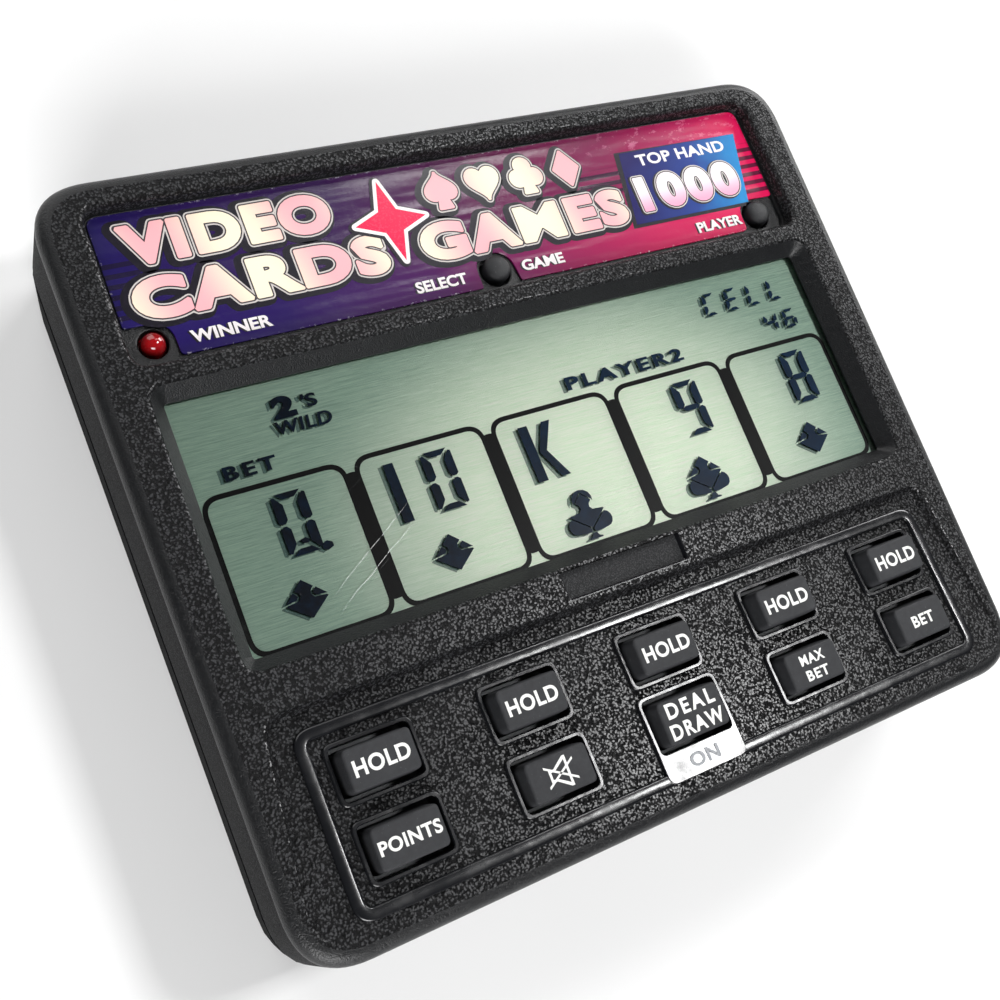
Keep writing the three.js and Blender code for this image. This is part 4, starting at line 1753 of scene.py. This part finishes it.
@dataclass
class Label:
    """The printed label and its artwork."""

    box: Box = LABEL_BOX
    floor: float = 17.75
    thickness: float = 0.22
    notch_top: float = 27.7
    lamp_side: float = -42.0
    select_x: float = 0.2
    notch_half: float = 2.6
    player_side: float = 40.8

    def outline(self, grow: float = 0.0) -> list[Point]:
        """The cut outline of the label.

        Args:
            grow: how far to move the outline outwards.

        Returns:
            The points of the outline.
        """
        box, half = self.box, self.notch_half
        select_left, select_right = self.select_x - half + grow, self.select_x + half - grow
        lamp_side, player_side = self.lamp_side - grow, self.player_side + grow
        low, notch, high = box.bottom - grow, self.notch_top - grow, box.top + grow
        left, right = box.left - grow, box.right + grow
        return rounded_polygon(
            [
                (lamp_side, low, 0.6),
                (select_left, low, 0.3),
                (select_left, notch, half - 0.1),
                (select_right, notch, half - 0.1),
                (select_right + 0.4, low, 0.3),
                (player_side, low, 0.8),
                (player_side, notch, half),
                (right, notch, 0.4),
                (right, high, 1.4),
                (left, high, 1.4),
                (left, notch, 0.4),
                (lamp_side, notch, half),
            ]
        )

    def build(self) -> None:
        """Makes the film and the artwork."""
        s = Surface()
        high = self.floor + self.thickness
        rings = [s.ring(self.outline(0), self.floor), s.ring(self.outline(0), high - 0.06)]
        rings.append(s.ring(self.outline(-0.05), high))
        s.bands(rings)
        s.cap(rings[-1])
        s.cap(rings[0], up=False)
        s.piece("label_film", "label", (FILM,), stands_for=["label_sticker"])
        self._pane(high)
        self._title(high)
        self._captions(high)

    def _pane(self, high: float) -> None:
        """The slanted blue pane with its number.

        Args:
            high: height of the film's top.
        """
        s = Surface()
        shadow = [(22.7, 26.9), (42.4, 26.9), (45.0, 38.2), (24.5, 38.4)]
        pane = [(23.4, 27.4), (43.0, 27.4), (45.6, 38.2), (25.3, 38.2)]
        s.print_shape(shadow, high + 0.008, 1)
        s.print_shape(pane, high + 0.016, 0)
        Words("TOP HAND", 35.3, 36.7, 15.4, 1.75, 0.03, 1.05).print_on(s, high + 0.03, 2)
        layers = (
            (0.62, 0.0, 1, (-0.25, -0.1)),
            (0.5, 0.006, 3, HERE),
            (0.34, 0.012, 1, HERE),
            (0.2, 0.018, 4, HERE),
        )
        number = Words("1000", 34.3, 31.6, 17.0, 5.0, 0.035, 1.2).faces()
        Outlined(layers).print_on(s, high + 0.03, number)
        s.piece("label_pane", "label", (PANE, LABEL_DARK, LABEL_WHITE, LABEL_SILVER, NUMBER))

    def _title(self, high: float) -> None:
        """Large generic words and the four suits, with dark and pale outlines.

        Args:
            high: height of the film's top.
        """
        s = Surface()
        layers = Outlined(
            (
                (1.15, 0.0, 0, (-0.45, -0.15)),
                (0.6, 0.008, 1, HERE),
                (0.42, 0.016, 2, HERE),
                (0.24, 0.024, 3, HERE),
            )
        )
        rows = (
            ("VIDEO", -31.6, 37.5, 25.6, 4.9),
            ("CARDS", -29.3, 30.6, 31.6, 4.9),
            ("GAMES", 7.2, 30.6, 31.0, 4.9),
        )
        for text, x, y, width, height in rows:
            layers.print_on(s, high + 0.006, Words(text, x, y, width, height, 0.03, 1.16).faces())
        for i, suit in enumerate((Suit.SPADE, Suit.HEART, Suit.CLUB, Suit.DIAMOND)):
            layers.print_on(s, high + 0.006, suit.faces(-3.0 + i * 6.4, 37.5, 5.0))
        middle = (-11.2, 34.6)
        star = []
        for k in range(8):
            wide, tall = (4.9, 5.6) if k % 2 == 0 else (1.75, 2.1)
            a = k * math.pi / 4
            star.append((wide * math.cos(a) + middle[0], tall * math.sin(a) + middle[1]))
        fan = [[middle, star[k - 1], star[k]] for k in range(8)]
        plain = Outlined(
            ((0.75, 0.034, 0, (-0.2, -0.1)), (0.48, 0.04, 4, HERE), (0.0, 0.046, 5, HERE))
        )
        plain.print_on(s, high + 0.006, fan)
        s.piece(
            "label_title",
            "label",
            (LABEL_DARK, LABEL_SILVER, LABEL_LINE, LETTERS, LABEL_WHITE, LABEL_RED),
        )

    def _captions(self, high: float) -> None:
        """The small white words beside the lamp and the buttons, each with a dark shadow.

        Args:
            high: height of the film's top.
        """
        s = Surface()
        rows = (
            ("WINNER", -35.4, 9.8),
            ("SELECT", -7.8, 7.2),
            ("GAME", 7.2, 6.4),
            ("PLAYER", 36.6, 7.8),
        )
        for text, x, width in rows:
            word = Words(text, x, 25.1, width, 1.55, 0.035, 1.0)
            word.print_on(s, high + 0.008, 1, (-0.28, -0.05))
            word.print_on(s, high + 0.016)
        s.piece("label_captions", "label", (LABEL_WHITE, LABEL_DARK))


class Suit(Enum):
    """The four suits of a pack of cards."""

    SPADE = "spade"
    HEART = "heart"
    CLUB = "club"
    DIAMOND = "diamond"

    def faces(self, x: float, y: float, height: float) -> list[list[Point]]:
        """Faces of the suit's sign, which may overlap, about a middle.

        Args:
            x: middle of the sign across.
            y: middle of the sign up the face.
            height: height of the sign.

        Returns:
            The points of each face.
        """
        r = height / 2
        stem = [(-0.34, -1.0), (0.34, -1.0), (0.1, -0.1), (-0.1, -0.1)]
        heart = []
        for i in range(40):
            t = 2 * math.pi * i / 40
            waves = 13 * math.cos(t) - 5 * math.cos(2 * t) - 2 * math.cos(3 * t) - math.cos(4 * t)
            heart.append((-math.sin(t) ** 3, waves / 15 + 0.12))
        if self is Suit.DIAMOND:
            shapes = [[(0.75, 0.0), (0.0, 1.0), (-0.75, 0.0), (0.0, -1.0)]]
        elif self is Suit.CLUB:
            leaves = ((0.0, 0.56), (0.48, -0.12), (-0.48, -0.12))
            shapes = [circle(a, b, 0.44, 24) for a, b in leaves]
            shapes += [circle(0.0, 0.06, 0.25, 12), stem]
        elif self is Suit.HEART:
            shapes = [[(a * 0.92, b * 0.92) for a, b in heart]]
        else:
            shapes = [[(a * 0.85, 0.22 - b * 0.78) for a, b in heart[::-1]], stem]
        return [[(x + a * r, y + b * r) for a, b in shape] for shape in shapes]


@dataclass
class TurnedPart:
    """A round piece about an upright axis, read from its CAD node."""

    node: str
    profile: tuple[Point, ...]
    finish: Finish
    slot: str
    body: str = CASE

    def build(self) -> None:
        """Makes the round piece; each profile point is a radius and a depth below the top."""
        (x, y), top = middle_of(self.node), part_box(self.node)[1].z / MM
        s = Surface()
        rings = [s.ring(circle(x, y, radius), top - fall) for radius, fall in self.profile]
        s.bands(rings)
        s.cap(rings[-1])
        s.cap(rings[0], up=False)
        s.piece(f"{self.node}_dome", self.slot, (self.finish,), self.body, [self.node], 45)


LAMP_PROFILE = ((1.9, 4.35), (1.9, 3.45), (1.45, 3.45), (1.45, 1.45)) + tuple(
    (1.45 * math.cos(a), 1.45 * (1 - math.sin(a))) for a in (0.2, 0.45, 0.7, 0.95, 1.2, 1.4, 1.53)
)
BUTTON_PROFILE = ((2.8, 3.8), (2.8, 3.2), (1.8, 3.2), (1.8, 0.75), (1.74, 0.5)) + (
    (1.58, 0.3), (1.3, 0.15), (0.8, 0.05), (0.2, 0.0)
)


# ------------------------------------------------------------------ the display


class Glyph(Enum):
    """What each seven-segment sign switches on, from a at the top to g in the middle."""

    ZERO = "abcdef"
    FOUR = "bcfg"
    SIX = "acdefg"
    EIGHT = "abcdefg"
    NINE = "abcdfg"
    LETTER_C = "adef"
    LETTER_E = "adefg"
    LETTER_L = "def"


@dataclass(frozen=True)
class SegmentSign:
    """A seven-segment sign in a rectangle, leaning by a slant."""

    glyph: Glyph
    x: float
    y: float
    width: float
    height: float
    upright: float = 1.15
    level: float = 0.72
    slant: float = 0.0

    def outlines(self) -> list[list[Point]]:
        """The outline of each switched segment, about the sign's middle.

        Returns:
            The points of each outline.
        """
        w, h, tv, th = self.width, self.height, self.upright, self.level
        gap, mid = 0.13, self.height / 2
        side = [
            (0, h - 0.4 * th - gap),
            (0.3 * tv, h - 0.25 * th - gap),
            (tv, h - th - 0.55 * tv),
            (tv, mid + 0.5 * tv),
            (0.65 * tv, mid + gap),
            (0.3 * tv, mid + gap),
            (0, mid + 0.35 * tv),
        ][::-1]
        top = [(0.3 * tv + gap, h), (tv + 0.2, h - th)]
        top += [(w - tv - 0.2, h - th), (w - 0.3 * tv - gap, h)]
        bar = [(0.55 * tv, mid), (tv, mid - th / 2), (w - tv, mid - th / 2), (w - 0.55 * tv, mid)]
        bar += [(w - tv, mid + th / 2), (tv, mid + th / 2)]
        low_side = upended(side, mid)
        shapes = {
            "a": top,
            "b": mirrored(side, w / 2),
            "c": mirrored(low_side, w / 2),
            "d": upended(top, mid),
            "e": low_side,
            "f": side,
            "g": bar,
        }
        left, bottom = self.x - w / 2, self.y - h / 2
        return [
            [(left + a + (b - mid) * self.slant, bottom + b) for a, b in shapes[letter]]
            for letter in self.glyph.value
        ]


@dataclass
class Display:
    """The window, the liquid crystal signs, their shadows, and the printed foil behind them."""

    pitch: float = 18.46
    card_top: float = 6.6
    card_bottom: float = -12.55
    line: float = 0.62
    gap: float = 0.9
    foil: float = 17.0
    signs: float = 17.3
    window_top: float = 17.5
    shadow_shift: Point = (-0.6, -0.12)
    nudge: Point = (0.35, 0.2)

    def build(self) -> None:
        """Makes the display from the back to the front."""
        self._foil()
        self._signs()
        self._window()

    def _foil(self) -> None:
        """The brushed foil and the card outlines printed on it."""
        box = Box.over("lcd_rear_glass", 0.3)
        s = Surface()
        rings = [s.ring(box.loop(), self.foil - 0.3), s.ring(box.loop(), self.foil - 0.05)]
        rings.append(s.ring(box.loop(-0.05), self.foil))
        s.bands(rings)
        s.cap(rings[-1])
        s.cap(rings[0], up=False)
        s.piece("display_foil", "display_glass", (REFLECTOR,), stands_for=["lcd_rear_glass"])
        grid = Surface()
        middle = (self.card_top + self.card_bottom) / 2
        size = (self.pitch - self.gap, self.card_top - self.card_bottom)
        for i in range(-2, 3):
            card = Box.about(i * self.pitch, middle, *size, 2.4)
            grid.cap(
                grid.ring(card.loop(0, 8), self.foil + 0.02),
                [grid.ring(card.loop(-self.line, 8), self.foil + 0.02)],
            )
        for i in range(-2, 2):
            x = (i + 0.5) * self.pitch
            half, neck = self.gap / 2 + self.line * 0.9, 0.25
            right = [(neck, self.card_bottom + 1.7), (half, self.card_bottom + 1.85)]
            right += [(half, self.card_top - 1.8), (neck, self.card_top - 1.65)]
            grid.print_shape(moved(right + mirrored(right), x, 0), self.foil + 0.024)
        grid.piece("display_card_grid", "display_glass", (GRID_INK,))

    def _icon(self, x: float, y: float, parts: str) -> list[list[Point]]:
        """Pieces of the many-in-one suit sign: core, ears, crown, wings and stem.

        Args:
            x: middle of the sign across.
            y: middle of the sign up the face.
            parts: names of the pieces to draw, with spaces between.

        Returns:
            The points of each piece.
        """
        half = [(-1.15, 1.28), (-0.72, 0.9), (-0.62, 0.45)]
        half += [(-0.95, 0.05), (-2.35, -0.08), (-2.5, -0.22)]
        core = [(0, 2.35), *half, (0, -2.2), *mirrored(half)]
        ear = [(1.38, 1.12), (1.02, 0.78), (0.92, 0.5), (1.2, 0.2), (2.5, 0.06)]
        wing = [(0.12, -2.32), (2.35, -0.52)]
        turns = (0.9, 0.4, -0.1, -0.6, -1.1, -1.6)
        wing += [(2.15 + 1.0 * math.cos(a), -1.55 + 1.05 * math.sin(a)) for a in turns]
        wing += [(1.0, -2.75), (0.3, -2.75)]
        stem = [(-0.28, -2.85), (-0.5, -3.3), (-0.95, -3.45), (-0.95, -3.62)]
        stem += [(0.95, -3.62), (0.95, -3.45), (0.5, -3.3), (0.28, -2.85)]
        turns = (-0.35, 0.1, 0.6, 1.1, 1.57, 2.04, 2.54, 3.04, 3.5)
        crown = [(1.45 * math.cos(a), 1.55 + 1.3 * math.sin(a)) for a in turns]
        crown += [(-1.2, 1.4), (0.0, 2.5), (1.2, 1.4)]
        table = {
            "core": [core],
            "ears": [ear[::-1], mirrored(ear[::-1])],
            "crown": [crown],
            "wings": [wing[::-1], mirrored(wing[::-1])],
            "stem": [stem],
        }
        return [moved(shape, x, y) for part in parts.split() for shape in table[part]]

    def _sign_shapes(self) -> list[list[Point]]:
        """Every switched shape that isn't text.

        Returns:
            The points of each shape.
        """
        digit = {"width": 4.1, "height": 7.5}
        row = 0.75
        shapes = []
        big = ((Glyph.ZERO, -36.25), (Glyph.ZERO, -17.3), (Glyph.NINE, 19.9), (Glyph.EIGHT, 38.7))
        for glyph, x in big:
            shapes += SegmentSign(glyph, x, row, **digit).outlines()
        shapes.append([(-24.05, -3.0), (-22.75, -3.0), (-22.85, 4.45), (-24.15, 4.45)])
        speck = [(-36.6, -1.35), (-35.95, -1.15), (-35.5, -1.5), (-35.75, -1.85), (-36.4, -1.75)]
        tail = [(-34.3, -2.45), (-33.7, -2.2), (-33.1, -2.55)]
        tail += [(-33.1, -3.05), (-33.9, -3.35), (-34.4, -3.0)]
        shapes += [speck[::-1], tail[::-1]]
        shapes.append([(-5.55, -3.05), (-4.2, -3.05), (-4.3, 4.35), (-5.65, 4.35)])
        arms = [(-3.9, 0.65), (-2.2, 4.35), (-0.95, 4.35)]
        arms += [(-2.85, 0.65), (-0.9, -3.05), (-2.15, -3.05)]
        shapes.append(arms[::-1])
        shapes += self._icon(-38.2, -8.0, "core ears")
        shapes += self._icon(-19.5, -8.05, "core ears")
        shapes += self._icon(-0.95, -8.2, "crown core wings stem")
        shapes += self._icon(17.75, -8.15, "core ears wings stem")
        shapes += self._icon(36.5, -8.1, "core ears")
        small = {"width": 2.3, "height": 3.2, "upright": 0.62, "level": 0.42, "slant": 0.14}
        letters = (Glyph.LETTER_C, Glyph.LETTER_E, Glyph.LETTER_L, Glyph.LETTER_L)
        for glyph, x in zip(letters, (29.5, 33.3, 37.1, 40.9)):
            shapes += SegmentSign(glyph, x, 13.9, **small).outlines()
        small["height"] = 2.7
        for glyph, x in ((Glyph.FOUR, 38.0), (Glyph.SIX, 41.4)):
            shapes += SegmentSign(glyph, x, 9.2, **small).outlines()
        return shapes

    def _signs(self) -> None:
        """The switched shapes and words, and their shadows on the foil."""
        words = [
            Words("2", -33.0, 14.4, 2.8, 2.75, 0.06),
            Words("'S", -29.8, 14.5, 1.9, 1.7, 0.03),
            Words("WILD", -31.3, 11.95, 7.0, 1.65, 0.02, 1.1, 0.1),
            Words("BET", -39.2, 8.3, 6.3, 1.7, 0.03, 1.3),
            Words("PLAYER2", 12.6, 8.2, 18.6, 1.8, 0.03, 1.25),
        ]
        dark, soft = Surface(), Surface()
        below = (self.nudge[0] + self.shadow_shift[0], self.nudge[1] + self.shadow_shift[1])
        for shape in self._sign_shapes():
            dark.print_shape(moved(shape, *self.nudge), self.signs)
            soft.print_shape(moved(shape, *below), self.foil + 0.05)
        for word in words:
            word.print_on(dark, self.signs, 0, self.nudge)
            word.print_on(soft, self.foil + 0.05, 0, below)
        dark.piece("display_signs", "display_glass", (SEGMENTS,), stands_for=["lcd_front_glass"])
        soft.piece("display_sign_shadows", "display_glass", (SEGMENT_SHADE,))

    def _window(self) -> None:
        """The clear acrylic pane."""
        box, top = Box.over("display_window", 0.8), self.window_top
        s = Surface()
        profile = [(-0.1, top - 0.12), (0.0, top - 0.08), (0.0, top - 0.05), (-0.05, top)]
        rings = [s.ring(box.loop(grow), z) for grow, z in profile]
        s.bands(rings)
        s.cap(rings[-1])
        s.piece("window_pane", "window", (WINDOW,), stands_for=["display_window"])


# ------------------------------------------------------------------ CAD nodes that stay


@dataclass
class CarriedNodes:
    """CAD nodes whose shape is right; each gets a better finish."""

    families: tuple[tuple[str, Finish], ...] = (
        ("rear_case", REAR),
        ("battery_door", REAR),
        ("keypad_membrane", Rubber("membrane rubber", shade(120, 122, 124), 0.7)),
        ("lcd_holder", PlainPart("natural white moulding", shade(212, 210, 200))),
        ("zebra_strip", Rubber("contact strip rubber", shade(90, 92, 96), 0.75)),
        ("circuit_board", CircuitBoard("circuit board")),
        ("chip_blob", PlainPart("black potting epoxy", shade(18, 18, 20), 0.25, 0.8, 0.05)),
        ("capacitor", PlainPart("capacitor sleeve", shade(24, 30, 44), 0.3, 1.2)),
        ("resonator", PlainPart("dipped ceramic", shade(190, 110, 40), 0.3, 1.0, 0.05)),
        ("lamp_resistor", PlainPart("resistor paint", shade(206, 176, 128), 0.4, 2.0)),
        ("piezo_disc", Metal("rolled brass", shade(206, 170, 92), shade(130, 100, 52))),
        ("board_screw", Metal("plated screw steel")),
        ("case_screw", BLACKENED),
        ("cell_1", CellJacket("cell jacket with its nub to the left", -1.0)),
        ("cell_2", CellJacket("cell jacket with its nub to the right")),
        ("contact_", Metal("spring plate", shade(206, 206, 202), shade(150, 146, 136), 0.22)),
        ("battery_lead_red", RED_WIRE),
        ("battery_lead_black", BLACK_WIRE),
        ("piezo_lead_red", RED_WIRE),
        ("piezo_lead_black", BLACK_WIRE),
    )

    def build(self) -> None:
        """Dresses each node that is still shown."""
        for name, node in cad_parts.items():
            if node.hide_render:
                continue
            finish = next(f for start, f in self.families if name.startswith(start))
            node.data.materials.clear()
            node.data.materials.append(finish.material())
            LOG.info("dressed %s in %s", name, finish.name)


# ------------------------------------------------------------------ the studio


@dataclass(frozen=True)
class Softbox:
    """A square area light: its place and aim in millimetres, its side and its power in watts."""

    name: str
    place: Corner
    aim: Corner
    side: float
    power: float

    def build(self) -> None:
        """Hangs the light."""
        data = bpy.data.lights.new(self.name, "AREA")
        data.size = self.side * MM
        data.energy = self.power
        lamp = bpy.data.objects.new(self.name, data)
        place = Vector(self.place)
        lamp.location = place * MM
        lamp.rotation_euler = (Vector(self.aim) - place).to_track_quat("-Z", "Y").to_euler()
        bpy.context.scene.collection.objects.link(lamp)


@dataclass
class Studio:
    """Pale floor, soft lights and the camera."""

    lens: float = 45.16
    eye: Corner = (-76.93, -28.70, 151.88)
    turn: Corner = (18.777, -20.664, -22.939)
    floor_size: float = 1.1
    dimmed: float = 0.06
    lights: tuple[Softbox, ...] = (
        Softbox("key softbox", (327, -36, 582), (0, -38, 20), 100, 1.8),
        Softbox("rim softbox", (350, 430, 560), (20, 40, 18), 120, 0.8),
        Softbox("right softbox", (640, 330, 300), (0, 0, 10), 320, 3.0),
        Softbox("far softbox", (-120, 760, 420), (0, 0, 10), 700, 3.0),
        Softbox("near softbox", (-330, -700, 420), (0, 0, 10), 520, 9.0),
    )

    def build(self) -> None:
        """Makes the studio."""
        self._floor()
        self._camera()
        self._world()
        for light in self.lights:
            light.build()

    def _floor(self) -> None:
        """A pale matt floor."""
        half = self.floor_size / 2
        mesh = bpy.data.meshes.new("floor")
        corners = [(-half, -half, 0), (half, -half, 0), (half, half, 0), (-half, half, 0)]
        mesh.from_pydata(corners, [], [(0, 1, 2, 3)])
        tree = Tree("floor paint")
        colour = tree.mix(tree.noise(0.02, 3), shade(240, 240, 240), shade(246, 246, 246))
        paint = tree.plastic({"Base Color": colour, "Roughness": 0.7})
        mesh.materials.append(tree.show(paint))
        floor = bpy.data.objects.new("floor", mesh)
        bpy.context.scene.collection.objects.link(floor)

    def _camera(self) -> None:
        """The camera, close above the lower left of the machine."""
        data = bpy.data.cameras.new("camera")
        data.lens = self.lens
        data.sensor_width = 36
        data.clip_start = 0.01
        camera = bpy.data.objects.new("camera", data)
        camera.location = Vector(self.eye) * MM
        camera.rotation_euler = Euler([math.radians(a) for a in self.turn])
        bpy.context.scene.collection.objects.link(camera)
        bpy.context.scene.camera = camera

    def _world(self) -> None:
        """A white room that lights the machine only dimly."""
        world = bpy.data.worlds.new("room")
        world.use_nodes = True
        nodes, links = world.node_tree.nodes, world.node_tree.links
        rays = nodes.new("ShaderNodeLightPath")
        level = nodes.new("ShaderNodeMapRange")
        level.inputs["To Min"].default_value = self.dimmed
        level.inputs["To Max"].default_value = 1.0
        links.new(rays.outputs["Is Camera Ray"], level.inputs["Value"])
        links.new(level.outputs[0], nodes["Background"].inputs["Strength"])
        nodes["Background"].inputs["Color"].default_value = (1.0, 1.0, 1.0, 1.0)
        bpy.context.scene.world = world
        bpy.context.scene.view_settings.view_transform = "Standard"


def main() -> None:
    """Builds the machine and the studio round it."""
    logging.basicConfig(level=logging.INFO, format="%(message)s")
    Studio().build()
    places = key_places()
    FrontShell(places, KeypadPanel()).build()
    for place in places:
        Key(place).build()
    Label().build()
    TurnedPart("winner_lamp", LAMP_PROFILE, LAMP, "lamp").build()
    for node in ("select_game_button", "player_button"):
        TurnedPart(node, BUTTON_PROFILE, BUTTON_RUBBER, "key_rubber", node).build()
    Display().build()
    CarriedNodes().build()
    bpy.context.view_layer.update()


if __name__ == "__main__":
    main()
